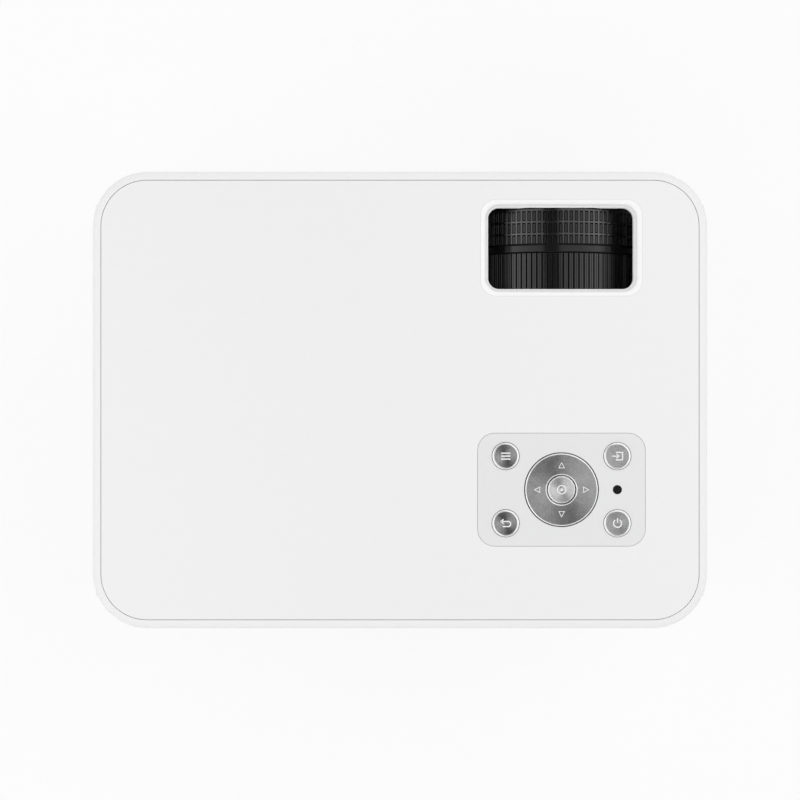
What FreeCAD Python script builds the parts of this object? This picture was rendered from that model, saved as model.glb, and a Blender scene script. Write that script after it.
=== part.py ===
"""Home video projector with a disc tray, as an assembly of separate pieces.

Frame: millimetres, +Z up, origin on the table under the middle of the case. The lens and the disc tray
look towards -Y, the sockets towards +Y. Seen from the front the lens is on the left (-X).
"""

import FreeCAD, Part
import Sketcher
import math
import os
import re

DOC = FreeCAD.newDocument("disc_projector")
PLACE = FreeCAD.Placement
TURN = FreeCAD.Rotation
VEC = FreeCAD.Vector

# ------------------------------------------------------------------ driving dimensions

SIZES = {
    "case": {
        "body_width": 280, "body_depth": 208, "body_height": 100, "foot_height": 4, "corner_radius": 25.1,
        "wall": 2.5, "base_rise": 7, "base_round": 3, "rim_width": 4.1, "rim_round": 3.2,
        "panel_thick": 2.5, "panel_gap": 0.25, "ledge_width": 3, "ledge_thick": 2, "seat_gap": 0.2,
        "lip_gap": 0.15, "lip_thick": 1.5, "lip_rise": 3, "hook_width": 9, "hook_thick": 1.4,
        "hook_catch": 1.2, "hook_height": 1.2, "hook_spread_x": 95, "hook_spread_y": 62,
        "post_radius": 4.5, "post_web": 2, "screw_inset": 16, "screw_radius": 1.5, "screw_head": 2.8,
        "screw_head_thick": 2, "screw_length": 14, "screw_fit": 0.05, "screw_recess": 3, "screw_seat": 2,
        "vent_width": 3, "vent_length": 34, "vent_pitch": 7, "vent_count": 7, "vent_lead": 44,
        "vent_shift_x": 8, "vent_shift_y": 4,
    },
    "feet and inserts": {
        "pad_radius": 8, "pad_inset_x": 32, "pad_inset_y": 28, "pad_recess": 0.6, "foot_inset": 22,
        "foot_screw_radius": 4, "foot_screw_fit": 0.08, "foot_knob_radius": 11.5, "foot_knob_thick": 5,
        "foot_cup_radius": 14, "foot_cup_wall": 2.5, "foot_cup_roof": 10, "foot_pad_thick": 2,
        "foot_pad_radius": 9, "foot_pad_clear": 0.6, "foot_screw_top": 33, "foot_boss_radius": 7.5,
        "foot_boss_top": 28, "foot_pin_radius": 2, "foot_pin_length": 2.5, "knurl_count": 24,
        "knurl_radius": 0.8, "tripod_bore": 2.55, "tripod_radius": 4.5, "tripod_length": 9,
        "tripod_boss": 8, "ceiling_bore": 2, "ceiling_radius": 3.2, "ceiling_length": 7,
        "ceiling_boss": 5, "ceiling_half_x": 60, "ceiling_half_y": 50, "ceiling_mid_y": 20,
        "insert_fit": 0.05, "insert_cover": 1.5,
    },
    "lens window": {
        "lens_inset": 66.7, "lens_drop": 48.5, "window_lead": 19.1, "window_width": 68.7,
        "window_length": 39.5, "window_radius": 6.2, "window_draft": 1.2, "window_depth": 6.6,
        "window_round": 2.1, "collar_wall": 2.2, "ring_clear": 0.8,
    },
    "lens": {
        "ring_radius": 45, "ring_wall": 3.5, "ring_fit": 0.15, "lens_recess": 15.8, "focus_length": 20.5,
        "ring_gap": 0.4, "keystone_length": 20.3, "row_count": 3, "row_proud": 0.6, "row_length": 4.4,
        "row_pitch": 5.4, "row_start": 2.1, "cam_slope": 0.066, "cam_middle": 1.8, "cam_half_width": 25,
        "bracket_lead": 7.5, "bracket_thick": 3.5, "bracket_half_width": 46, "bracket_top": 40,
        "bracket_window": 34, "tube_wall": 2.5, "retainer_thick": 1.9, "retainer_radius": 44,
        "barrel_proud": 3.8, "barrel_length": 42, "barrel_wall": 3, "barrel_lip": 12,
        "barrel_middle_bore": 30, "rear_seat": 30, "rear_bore": 33, "pin_radius": 1.5, "pin_lead": 9.2,
        "pin_count": 3, "pin_fit": 0.2, "pin_end_gap": 0.4, "focus_travel": 4, "relief_depth": 1.8,
        "relief_margin": 2, "lens_curve": 110, "front_lens_edge": 3, "rear_lens_edge": 5, "lens_fit": 0.1,
        "cam_spare": 2, "trim_radius": 42, "trim_flange": 1.2, "trim_hole": 39.5, "trim_mouth": 38.2,
        "trim_throat": 36.4, "trim_depth": 6.8, "trim_wall": 1.2, "hood_half_width": 36,
        "hood_half_height": 21.5, "hood_wall": 1.5, "fork_height": 4, "fork_wall": 1.6,
    },
    "light box": {
        "box_reach": 38.7, "lamp_inset": 94, "path_inset": 52, "box_half_length": 40,
        "box_half_height": 24, "box_wall": 1.5, "mirror_length": 82, "mirror_height": 40,
        "mirror_thick": 1.8, "frame_border": 1, "frame_thick": 3.6, "pivot_radius": 2, "pivot_fit": 0.08,
        "pivot_length": 4, "bearing_half": 4, "bearing_gap": 0.4, "arm_radius": 1.5, "arm_top": 34,
        "arm_slot": 12, "rod_rise": 29.5, "rod_thick": 3, "rod_width": 6, "pad_width": 16,
        "pad_half_length": 5, "rod_fit": 0.25, "nose_rise": 43.3, "nose_size": 2.6, "nose_gap": 0.35,
        "rod_drop": 4.5, "guide_wall": 1.6, "guide_length": 6, "guide_lead": 5, "guide_pitch": 21,
        "optic_fit": 0.3, "rib_size": 2, "field_reach": 39.3, "fresnel_pitch": 24, "fresnel_thick": 1.6,
        "lcd_lead": 10, "lcd_thick": 2.4, "lcd_border": 4, "condenser_lead": 26, "condenser_curve": 40,
        "condenser_edge": 2, "lamp_size": 30, "lamp_thick": 1.6, "lamp_dome": 9, "lamp_fit": 1,
        "sink_plate": 5, "sink_gap": 2.9, "fin_count": 15, "fin_thick": 1.2, "stand_radius": 3,
        "stand_inset": 7,
    },
    "fan": {
        "fan_size": 70, "fan_depth": 15, "fan_inset": 62, "fan_z": 52.5, "fan_bore": 33, "fan_hub": 12,
        "fan_gap": 0.3, "fan_blade_fit": 1.2, "fan_plate": 2.5, "blade_count": 7, "blade_thick": 1.2,
        "blade_width": 11, "blade_pitch": 42, "blade_root": 2, "strut_root": 0.5, "strut_width": 3,
        "fan_hole": 2.1, "fan_hole_inset": 4.5, "fan_round": 3, "axle_radius": 1.5, "axle_fit": 0.05,
        "axle_length": 8,
    },
    "grilles, speakers and sockets": {
        "grille_length": 67, "grille_height": 66, "grille_radius": 8, "grille_flange": 1.3,
        "grille_border": 3, "slot_height": 2.6, "slot_pitch": 5.2, "slot_count": 11, "slot_rib": 2,
        "speaker_lead": 62, "speaker_z": 60, "speaker_radius": 18, "speaker_depth": 12,
        "speaker_cone": 14, "speaker_hole": 1, "hole_rings": 3, "hole_pitch": 4.6, "port_mid_x": -1,
        "port_width": 122, "port_low": 17, "port_height": 17, "port_radius": 3, "port_flange": 1.2,
        "port_border": 1.5, "socket_fit": 0.3, "socket_round": 0.7, "socket_wall": 0.6,
        "socket_inset": 0.3, "hdmi_x": -8, "hdmi_width": 15, "hdmi_height": 6.6, "usb_x": 15,
        "usb_width": 14.4, "usb_height": 7, "vga_x": -42, "vga_width": 31, "vga_height": 10.5,
        "socket_depth": 14, "jack_left_x": 34, "jack_right_x": 48, "jack_width": 9, "jack_height": 9,
        "jack_bore": 1.8, "inlet_inset": 45, "inlet_z": 24, "inlet_width": 20, "inlet_height": 12.5,
        "inlet_depth": 17, "inlet_radius": 4, "inlet_border": 2, "inlet_flange": 1.2,
        "inlet_cavity_width": 15.4, "inlet_cavity_height": 8, "inlet_cavity": 12, "inlet_pin": 1.2,
        "inlet_pin_half": 4.3, "inlet_pin_length": 8,
    },
    "boards": {
        "board_z": 18, "board_thick": 1.6, "main_left": -66, "main_right": 62, "main_length": 69.5,
        "main_margin": 6.5, "supply_inset": 28, "supply_width": 92, "supply_margin": 16,
        "supply_length": 74, "standoff_radius": 3, "standoff_inset": 4, "chip_size": 24, "chip_thick": 2,
        "chip_sink_height": 7, "capacitor_radius": 9, "capacitor_height": 26, "coil_size": 28,
        "coil_height": 22, "choke_size": 16.8, "choke_height": 15.4, "choke_shift": 19.6,
        "rail_sink_height": 24, "rail_sink_width": 4, "rail_sink_length": 39.2, "capacitor_shift": 9,
        "capacitor_pitch": 19.8, "memory_shift": 31.2, "memory_width": 12, "memory_length": 14.4,
    },
    "control panel": {
        "keys_inset": 63.3, "plate_width": 76, "plate_length": 51.2, "plate_radius": 7.8,
        "plate_thick": 1.5, "plate_gap": 0.15, "plate_margin": 3, "key_half_x": 25.35,
        "key_half_y": 15.25, "key_radius": 6.1, "key_gap": 0.25, "key_proud": 0.7, "key_round": 0.5,
        "key_flange": 7.1, "flange_thick": 1, "flange_gap": 0.3, "key_stem": 3, "plunger_radius": 1.6,
        "plunger_fit": 0.35, "plunger_reach": 0.3, "switch_size": 6, "switch_height": 3.5,
        "switch_bore_depth": 1.3, "stem_gap": 0.9, "nav_radius": 16.5, "nav_bore": 6.7, "nav_gap": 0.5,
        "nav_proud": 0.5, "nav_flange": 18, "nav_switch": 15.2, "nav_clear": 0.8, "ok_radius": 6.2,
        "ok_proud": 0.6, "ok_flange": 7.35, "ok_flange_thick": 0.6, "ok_clear": 0.4, "sleeve_bore": 7.65,
        "sleeve_wall": 0.8, "sleeve_drop": 3.7, "spider_inner": 9, "spider_outer": 10.2,
        "spider_thick": 0.8, "spider_drop": 4.7, "spider_pin": 0.4, "spider_pin_end": 11.5,
        "pin_root": 0.3, "lug_half": 1.4, "lug_inner": 10.5, "lug_outer": 11.9, "lug_drop": 0.5,
        "pin_hole_fit": 0.06, "key_board_drop": 8.5, "key_board_width": 84, "key_board_length": 46,
        "key_post": 2.6, "key_post_x": 38.5, "key_post_y": 19, "ir_x": -25.35, "ir_radius": 2,
        "ir_gap": 0.1, "ir_flange": 3.2, "ir_receiver": 5,
    },
    "disc drive": {
        "drive_inset": 90.5, "drive_drop": 20, "drive_width": 128, "drive_recess": 5.5, "drive_length": 128,
        "drive_height": 12.7, "sheet": 0.8, "bridge_sheet": 1.2, "bridge_lead": 38.5, "bridge_length": 68,
        "bridge_flange": 10, "slot_gap": 0.4, "bezel_width": 130.2, "bezel_height": 13.6,
        "bezel_thick": 4.4, "bezel_radius": 3, "tray_half_width": 61.5, "tray_length": 126.5,
        "tray_low": 1.4, "tray_height": 9, "tray_web": 1.4, "tray_wall": 2.5, "disc_recess": 60.5,
        "disc_lead": 61.5, "disc_recess_depth": 3.4, "hub_opening": 17, "sled_bay": 20, "screw_bay": 28,
        "rail_gap": 0.25, "rail_height": 5, "rail_low": 5.2, "rail_inset": 2, "carrier_low": 2,
        "carrier_sheet": 1.2, "carrier_left": 19, "carrier_right": 33, "carrier_front": 20,
        "carrier_back": 65, "carrier_lug": 1.2, "carrier_gap": 0.8, "motor_radius": 12, "motor_thick": 3,
        "shaft_radius": 1, "shaft_fit": 0.05, "shaft_top": 6, "table_radius": 14.5, "table_thick": 1.4,
        "hub_radius": 7.4, "hub_height": 2.4, "table_gap": 0.4, "slide_radius": 1.25, "slide_half": 15,
        "slide_height": 5.3, "slide_fit": 0.06, "sled_half_width": 18, "sled_length": 12,
        "sled_start": 18, "sled_low": 3.5, "sled_high": 7.2, "lens_half": 3.2, "lens_proud": 0.6,
        "screw_offset": 24.5, "lead_radius": 1.2, "lead_start": 14, "nut_half": 2.2, "motor_box": 6,
        "motor_box_length": 9, "eject_offset": 45, "eject_width": 12, "eject_height": 4,
        "eject_gap": 0.25, "eject_travel": 0.6, "eject_inset": 0.2, "eject_flange": 1, "pinhole": 0.7,
        "pinhole_offset": 34, "lamp_hole": 1, "lamp_offset": 55, "cover_hole": 9,
    },
    # How far a cutting block runs past the face that it opens, and the share of a slot's height that
    # rounds its ends.
    "cutting": {"spare": 1, "end_round": 0.45},
}

# Places that follow the case or a neighbour, by the names that the shapes call them.
FOLLOWS = {
    "lens_x": "(lens_inset - body_width/2)",
    "lens_z": "(foot_height + body_height - lens_drop)",
    "focus_front": "(lens_recess - body_depth/2)",
    "window_y": "(focus_front + window_lead)",
    "bracket_y": "(focus_front + focus_length + ring_gap + keystone_length + bracket_lead)",
    "barrel_front": "(focus_front - barrel_proud)",
    "barrel_step": "(barrel_front + barrel_lip)",
    "rear_step": "(barrel_front + rear_seat)",
    "pin_y": "(focus_front + pin_lead)",
    "trim_rear": "(trim_depth - body_depth/2)",
    "foot_y": "(foot_inset - body_depth/2)",
    "path_y": "(body_depth/2 - path_inset)",
    "box_front": "(path_y - box_half_length)",
    "box_back": "(path_y + box_half_length)",
    "box_left": "(lens_x - box_reach)",
    "box_right": "(body_width/2 - lamp_inset)",
    "fresnel_front_x": "(lens_x + field_reach)",
    "fresnel_rear_x": "(fresnel_front_x + fresnel_pitch)",
    "lcd_x": "(fresnel_front_x + lcd_lead)",
    "condenser_x": "(box_right - condenser_lead)",
    "sink_end": "(body_width/2 - wall - grille_flange - fan_gap - fan_depth - sink_gap)",
    "rod_z": "(lens_z + rod_rise)",
    "nose_z": "(lens_z + nose_rise)",
    "rod_drop_y": "(bracket_y + rod_drop)",
    "guide_front_y": "(box_front + guide_lead)",
    "guide_rear_y": "(guide_front_y + guide_pitch)",
    "fan_y": "(body_depth/2 - fan_inset)",
    "speaker_y": "(fan_y - speaker_lead)",
    "inlet_x": "(body_width/2 - inlet_inset)",
    "main_back": "(body_depth/2 - main_margin)",
    "main_front": "(main_back - main_length)",
    "supply_right": "(body_width/2 - supply_inset)",
    "supply_left": "(supply_right - supply_width)",
    "supply_front": "(supply_margin - body_depth/2)",
    "supply_back": "(supply_front + supply_length)",
    "keys_y": "(body_depth/2 - keys_inset)",
    "sleeve_top": "(foot_height + body_height - sleeve_drop)",
    "spider_z": "(foot_height + body_height - spider_drop)",
    "key_board_top": "(foot_height + body_height - key_board_drop)",
    "drive_x": "(body_width/2 - drive_inset)",
    "drive_z": "(foot_height + body_height - drive_drop)",
    "drive_front": "(drive_recess - body_depth/2)",
    "disc_y": "(drive_front + disc_lead)",
    "tray_back": "(drive_front + tray_length)",
    "bridge_front": "(drive_front + bridge_lead)",
    "bridge_back": "(bridge_front + bridge_length)",
}
WORD = re.compile(r"[a-z_][a-z0-9_]*")

SHEET = DOC.addObject("Spreadsheet::Sheet", "dims")
ALIASES = {}


def fill_sheet():
    """Write every driving dimension into its own cell, with its alias."""
    row = 1
    for group, sizes in SIZES.items():
        SHEET.set(f"A{row}", group)
        row += 1
        for alias, size in sizes.items():
            SHEET.set(f"A{row}", alias)
            SHEET.set(f"B{row}", str(size))
            SHEET.setAlias(f"B{row}", alias)
            ALIASES[alias] = f"B{row}"
            row += 1
    DOC.recompute()


def written_out(name):
    """A word of an expression: a place that follows is written out, and an alias points at its cell."""
    if name in FOLLOWS:
        return formula(FOLLOWS[name])
    return "dims." + name if name in ALIASES else name


def formula(text):
    """The text as a FreeCAD expression over the sheet."""
    return WORD.sub(lambda word: written_out(word[0]), str(text))


def size(text):
    """The number that an expression over the sheet has now."""
    found = SHEET.evalExpression(formula(text))
    return float(getattr(found, "Value", found))


fill_sheet()

# Places that several pieces share, as expressions over the sheet.
TOP = "(foot_height + body_height)"
PANEL_BACK = f"({TOP} - panel_thick)"
LEDGE = f"({PANEL_BACK} - ledge_thick)"
SEAM = "(foot_height + base_rise)"
FLOOR = "(foot_height + wall)"
SIDE = "(body_width/2)"
INSIDE = "(body_width/2 - wall)"
FRONT = "(-body_depth/2)"
BACK = "(body_depth/2)"
SCREW_X = "(body_width/2 - screw_inset)"
SCREW_Y = "(body_depth/2 - screw_inset)"
SCREW_SEAT = "(foot_height + screw_recess)"
POST_LOW = f"({SCREW_SEAT} + screw_seat)"
RING_BORE = "(ring_radius - ring_wall)"
TUBE = f"({RING_BORE} - ring_fit)"
TUBE_BORE = f"({TUBE} - tube_wall)"
BARREL = f"({TUBE_BORE} - ring_fit)"
BARREL_BORE = f"({BARREL} - barrel_wall)"
TUBE_FRONT = "(focus_front - ring_gap - retainer_thick)"
KEYSTONE_FRONT = "(focus_front + focus_length + ring_gap)"
KEYSTONE_BACK = f"({KEYSTONE_FRONT} + keystone_length)"
BRACKET_FRONT = "(bracket_y - bracket_thick)"
BOX_LOW = "(lens_z - box_half_height)"
BOX_HIGH = "(lens_z + box_half_height)"
OPTIC_HALF = "(box_half_height - box_wall - optic_fit)"
FRAME_END = "(mirror_length/2 + seat_gap + frame_border)"
FAN_OUTER = f"({INSIDE} - grille_flange - fan_gap)"
FAN_INNER = f"({FAN_OUTER} - fan_depth)"
PLATE_BACK = f"({TOP} - plate_thick)"
SWITCH_TOP = "(key_board_top + switch_height)"
PLUNGER_END = f"({SWITCH_TOP} - plunger_reach)"
SWITCH_BORE = "(plunger_radius + plunger_fit)"
NAV_FLANGE_TOP = f"({PLATE_BACK} - nav_clear)"
NAV_LOW = f"({NAV_FLANGE_TOP} - flange_thick)"
PIVOT_Z = "(spider_z + spider_thick/2)"
DRIVE_TOP = "(drive_z + drive_height)"
DRIVE_BACK = "(drive_front + drive_length)"
DRIVE_HALF = "(drive_width/2)"
TRAY_LOW = "(drive_z + tray_low)"
TRAY_TOP = f"({TRAY_LOW} + tray_height)"
TRAY_FRONT = f"({FRONT} + bezel_thick)"
RECESS_FLOOR = f"({TRAY_TOP} - disc_recess_depth)"
BEZEL_Z = "(drive_z + drive_height/2)"
CARRIER_LOW = "(drive_z + carrier_low)"
CARRIER_TOP = f"({CARRIER_LOW} + carrier_sheet)"
MOTOR_TOP = f"({CARRIER_TOP} + motor_thick)"
SLIDE_Z = "(drive_z + slide_height)"
BOARD_TOP = "(board_z + board_thick)"

NODES = []


# ------------------------------------------------------------------ helpers: Part primitives


def bind(thing, **formulas):
    """Tie properties of an object to expressions; x, y and z mean its place."""
    for name, text in formulas.items():
        path = f"Placement.Base.{name}" if name in ("x", "y", "z") else name
        thing.setExpression(path, formula(text))
    return thing


def node(label, shape):
    """Name a finished piece. The label is also the name of its file."""
    shape.Label = label
    NODES.append(shape)
    return shape


def box(x, y, z):
    """A block between two places along each axis, each place an expression."""
    block = DOC.addObject("Part::Box", "block")
    return bind(
        block, x=x[0], y=y[0], z=z[0],
        Length=f"({x[1]}) - ({x[0]})", Width=f"({y[1]}) - ({y[0]})", Height=f"({z[1]}) - ({z[0]})",
    )


def rod(axis, radius, across, along):
    """A cylinder along X, Y or Z: its axis is at `across` on the two other axes, in X, Y, Z order."""
    shaft = DOC.addObject("Part::Cylinder", "shaft")
    if axis == "X":
        shaft.Placement = PLACE(VEC(), TURN(VEC(0, 1, 0), 90))
        place = (along[0], across[0], across[1])
    elif axis == "Y":
        shaft.Placement = PLACE(VEC(), TURN(VEC(1, 0, 0), -90))
        place = (across[0], along[0], across[1])
    else:
        place = (across[0], across[1], along[0])
    return bind(
        shaft, Radius=radius, Height=f"({along[1]}) - ({along[0]})", x=place[0], y=place[1], z=place[2]
    )


def ball(radius, x, y, z):
    """A full sphere."""
    return bind(DOC.addObject("Part::Sphere", "ball"), Radius=radius, x=x, y=y, z=z)


def joined(*shapes):
    """One solid from several that meet or overlap."""
    fuse = DOC.addObject("Part::MultiFuse", "joined")
    fuse.Shapes = list(shapes)
    fuse.Refine = True
    return fuse


def minus(base, *tools):
    """The base with every tool taken out of it."""
    cut = DOC.addObject("Part::Cut", "cut")
    cut.Base = base
    cut.Tool = tools[0] if len(tools) == 1 else joined(*tools)
    return cut


def shared(first, second):
    """What two shapes have in common."""
    common = DOC.addObject("Part::Common", "shared")
    common.Base = first
    common.Tool = second
    return common


def group(label, *shapes):
    """Several separate solids in one node."""
    bundle = DOC.addObject("Part::Compound", label)
    bundle.Links = list(shapes)
    return node(label, bundle)


# ------------------------------------------------------------------ helpers: sketched bodies


def rounded(width, height, radius, x="0", y="0"):
    """A rounded rectangle about (x, y): four lines and four tangent arcs, all driven by the sheet."""

    def draw(sketch):
        w, h, r, mid_x, mid_y = (size(t) for t in (width, height, radius, x, y))
        x0, x1, y0, y1 = mid_x - w / 2, mid_x + w / 2, mid_y - h / 2, mid_y + h / 2
        first = sketch.GeometryCount

        def line(ax, ay, bx, by):
            return Part.LineSegment(VEC(ax, ay, 0), VEC(bx, by, 0))

        def arc(cx, cy, start):
            circle_line = Part.Circle(VEC(cx, cy, 0), VEC(0, 0, 1), r)
            return Part.ArcOfCircle(circle_line, start, start + math.pi / 2)

        sketch.addGeometry(
            [
                line(x0 + r, y0, x1 - r, y0), arc(x1 - r, y0 + r, -math.pi / 2),
                line(x1, y0 + r, x1, y1 - r), arc(x1 - r, y1 - r, 0),
                line(x1 - r, y1, x0 + r, y1), arc(x0 + r, y1 - r, math.pi / 2),
                line(x0, y1 - r, x0, y0 + r), arc(x0 + r, y0 + r, math.pi),
            ],
            False,
        )
        rule = Sketcher.Constraint
        rules = [rule("Tangent", first + i, 2, first + (i + 1) % 8, 1) for i in range(8)]
        rules += [rule(("Horizontal", "Vertical")[i % 2], first + 2 * i) for i in range(4)]
        rules += [rule("Equal", first + 1, first + i) for i in (3, 5, 7)]
        sketch.addConstraint(rules)
        drive(sketch, rule("Radius", first + 1, r), radius)
        drive(sketch, rule("DistanceX", -1, 1, first + 6, 1, x0), f"({x}) - ({width})/2")
        drive(sketch, rule("DistanceX", -1, 1, first + 2, 1, x1), f"({x}) + ({width})/2")
        drive(sketch, rule("DistanceY", -1, 1, first, 1, y0), f"({y}) - ({height})/2")
        drive(sketch, rule("DistanceY", -1, 1, first + 4, 1, y1), f"({y}) + ({height})/2")

    return draw


def polygon(*turns):
    """A closed outline of straight lines; each place where it turns is a pair of expressions."""

    def draw(sketch):
        points = [VEC(size(x), size(y), 0) for x, y in turns]
        first, count = sketch.GeometryCount, len(points)
        sketch.addGeometry(
            [Part.LineSegment(points[i], points[(i + 1) % count]) for i in range(count)], False
        )
        rule = Sketcher.Constraint
        sketch.addConstraint(
            [rule("Coincident", first + i, 2, first + (i + 1) % count, 1) for i in range(count)]
        )
        for i, (x, y) in enumerate(turns):
            drive(sketch, rule("DistanceX", -1, 1, first + i, 1, points[i].x), x)
            drive(sketch, rule("DistanceY", -1, 1, first + i, 1, points[i].y), y)

    return draw


def rectangle(x, y):
    """A plain rectangle between two places on each axis."""
    return polygon((x[0], y[0]), (x[1], y[0]), (x[1], y[1]), (x[0], y[1]))


def circle(radius, x="0", y="0"):
    """A full circle about (x, y)."""

    def draw(sketch):
        at = VEC(size(x), size(y), 0)
        edge = sketch.addGeometry(Part.Circle(at, VEC(0, 0, 1), size(radius)), False)
        rule = Sketcher.Constraint
        drive(sketch, rule("Radius", edge, size(radius)), radius)
        drive(sketch, rule("DistanceX", -1, 1, edge, 3, at.x), x)
        drive(sketch, rule("DistanceY", -1, 1, edge, 3, at.y), y)

    return draw


def drive(sketch, constraint, text):
    """Add a dimension to a sketch and tie it to an expression."""
    sketch.setExpression(f"Constraints[{sketch.addConstraint(constraint)}]", formula(text))


class Moulding:
    """One PartDesign body. add and cut run from `at` along the + side of the sketch's axis.

    Sketches lie in XY, XZ or YZ and use those two axes; `back` makes a feature run the other way.
    """

    def __init__(self, label):
        self.body = DOC.addObject("PartDesign::Body", label)
        node(label, self.body)

    def sketch(self, plane, at, outlines):
        drawn = self.body.newObject("Sketcher::SketchObject", "outline")
        origin = [f for f in self.body.Origin.OriginFeatures if f.Role == plane + "_Plane"]
        drawn.AttachmentSupport = [(origin[0], "")]
        drawn.MapMode = "FlatFace"
        drawn.setExpression("AttachmentOffset.Base.z", formula(f"-({at})" if plane == "XZ" else at))
        for outline in outlines:
            outline(drawn)
        return drawn

    def add(self, plane, at, length, *outlines, back=False):
        pad = self.body.newObject("PartDesign::Pad", "pad")
        pad.Profile = self.sketch(plane, at, outlines)
        pad.Reversed = (plane == "XZ") != back
        pad.setExpression("Length", formula(length))
        return self

    def cut(self, plane, at, length, *outlines, back=False, taper=None):
        pocket = self.body.newObject("PartDesign::Pocket", "pocket")
        pocket.Profile = self.sketch(plane, at, outlines)
        pocket.Reversed = (plane != "XZ") != back
        pocket.setExpression("Length", formula(length))
        if taper:
            pocket.setExpression("TaperAngle", formula(taper))
        return self

    def turn(self, outline, remove=False):
        """Turn an outline about the body's Y axis: X in the outline is the radius."""
        feature = self.body.newObject("PartDesign::" + ("Groove" if remove else "Revolution"), "turned")
        drawn = self.sketch("XY", "0", [outline])
        feature.Profile = drawn
        feature.ReferenceAxis = (drawn, ["V_Axis"])
        feature.Angle = 360
        return self

    def round(self, radius, picked, kind="Fillet"):
        """Fillet or chamfer the edges whose corners picked() accepts."""
        DOC.recompute()
        base = self.body.Tip
        names = [
            f"Edge{i}" for i, edge in enumerate(base.Shape.Edges, 1) if picked(
                [v.Point for v in edge.Vertexes]
            )
        ]
        feature = self.body.newObject("PartDesign::" + kind, kind.lower())
        feature.Base = (base, names)
        feature.setExpression("Radius" if kind == "Fillet" else "Size", formula(radius))
        return self

    def axis(self, name):
        """One of the body's own axes."""
        return (next(f for f in self.body.Origin.OriginFeatures if f.Role == name + "_Axis"), [""])

    def repeat(self, count, axis="Y"):
        """Repeat the last feature round an axis."""
        pattern = self.body.newObject("PartDesign::PolarPattern", "repeated")
        pattern.Originals = [self.body.Tip]
        pattern.Axis = self.axis(axis)
        pattern.Angle = 360
        pattern.setExpression("Occurrences", formula(count))
        self.body.Tip = pattern
        return self

    def row(self, count, pitch, axis):
        """Repeat the last feature along an axis."""
        pattern = self.body.newObject("PartDesign::LinearPattern", "row")
        pattern.Originals = [self.body.Tip]
        pattern.Direction = self.axis(axis)
        pattern.setExpression("Length", formula(f"({pitch})*(({count}) - 1)"))
        pattern.setExpression("Occurrences", formula(count))
        self.body.Tip = pattern
        return self

    def move(self, x="0", y="0", z="0"):
        bind(self.body, x=x, y=y, z=z)
        return self


def at_height(height, x=None, y=None):
    """Picks the edges that lie wholly at one height, and between two places along X and Y if given."""
    z = size(height)
    limits = [(axis, size(pair[0]), size(pair[1])) for axis, pair in (("x", x), ("y", y)) if pair]

    def picked(points):
        level = bool(points) and all(abs(p.z - z) < 1e-4 for p in points)
        return level and all(low <= getattr(p, axis) <= high for axis, low, high in limits for p in points)

    return picked


def corners(x, y, mid_x="0", mid_y="0"):
    """The four corners of a rectangle about a middle, as pairs of expressions."""
    return [(f"{mid_x} + ({i})*({x})", f"{mid_y} + ({j})*({y})") for i in (-1, 1) for j in (-1, 1)]


def circles(radius, places):
    """One circle at each place."""
    return [circle(radius, x, y) for x, y in places]


# ------------------------------------------------------------------ case


def inset(distance):
    """The case's outline, moved inwards."""
    return rounded(
        f"body_width - 2*({distance})", f"body_depth - 2*({distance})", f"corner_radius - ({distance})"
    )


SCREW_PLACES = corners(SCREW_X, SCREW_Y)
FOOT_PLACES = corners("body_width/2 - pad_inset_x", "body_depth/2 - pad_inset_y")
CEILING_PLACES = corners("ceiling_half_x", "ceiling_half_y", "0", "ceiling_mid_y")
FOOT_AXIS = ("0", "foot_y")
BOX_STANDS = [
    (x, y)
    for x in ("box_left + stand_inset", "box_right - stand_inset", "sink_end - stand_inset")
    for y in ("box_front + stand_inset", "box_back - stand_inset")
]
FAN_STANDS = [(f"{FAN_INNER} + fan_depth/2", f"fan_y + ({side})*fan_size/3") for side in (-1, 1)]


def board_corners(name):
    """Where a board's four pillars stand."""
    x = (f"{name}_left + standoff_inset", f"{name}_right - standoff_inset")
    y = (f"{name}_front + standoff_inset", f"{name}_back - standoff_inset")
    return [(a, b) for a in x for b in y]


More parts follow.
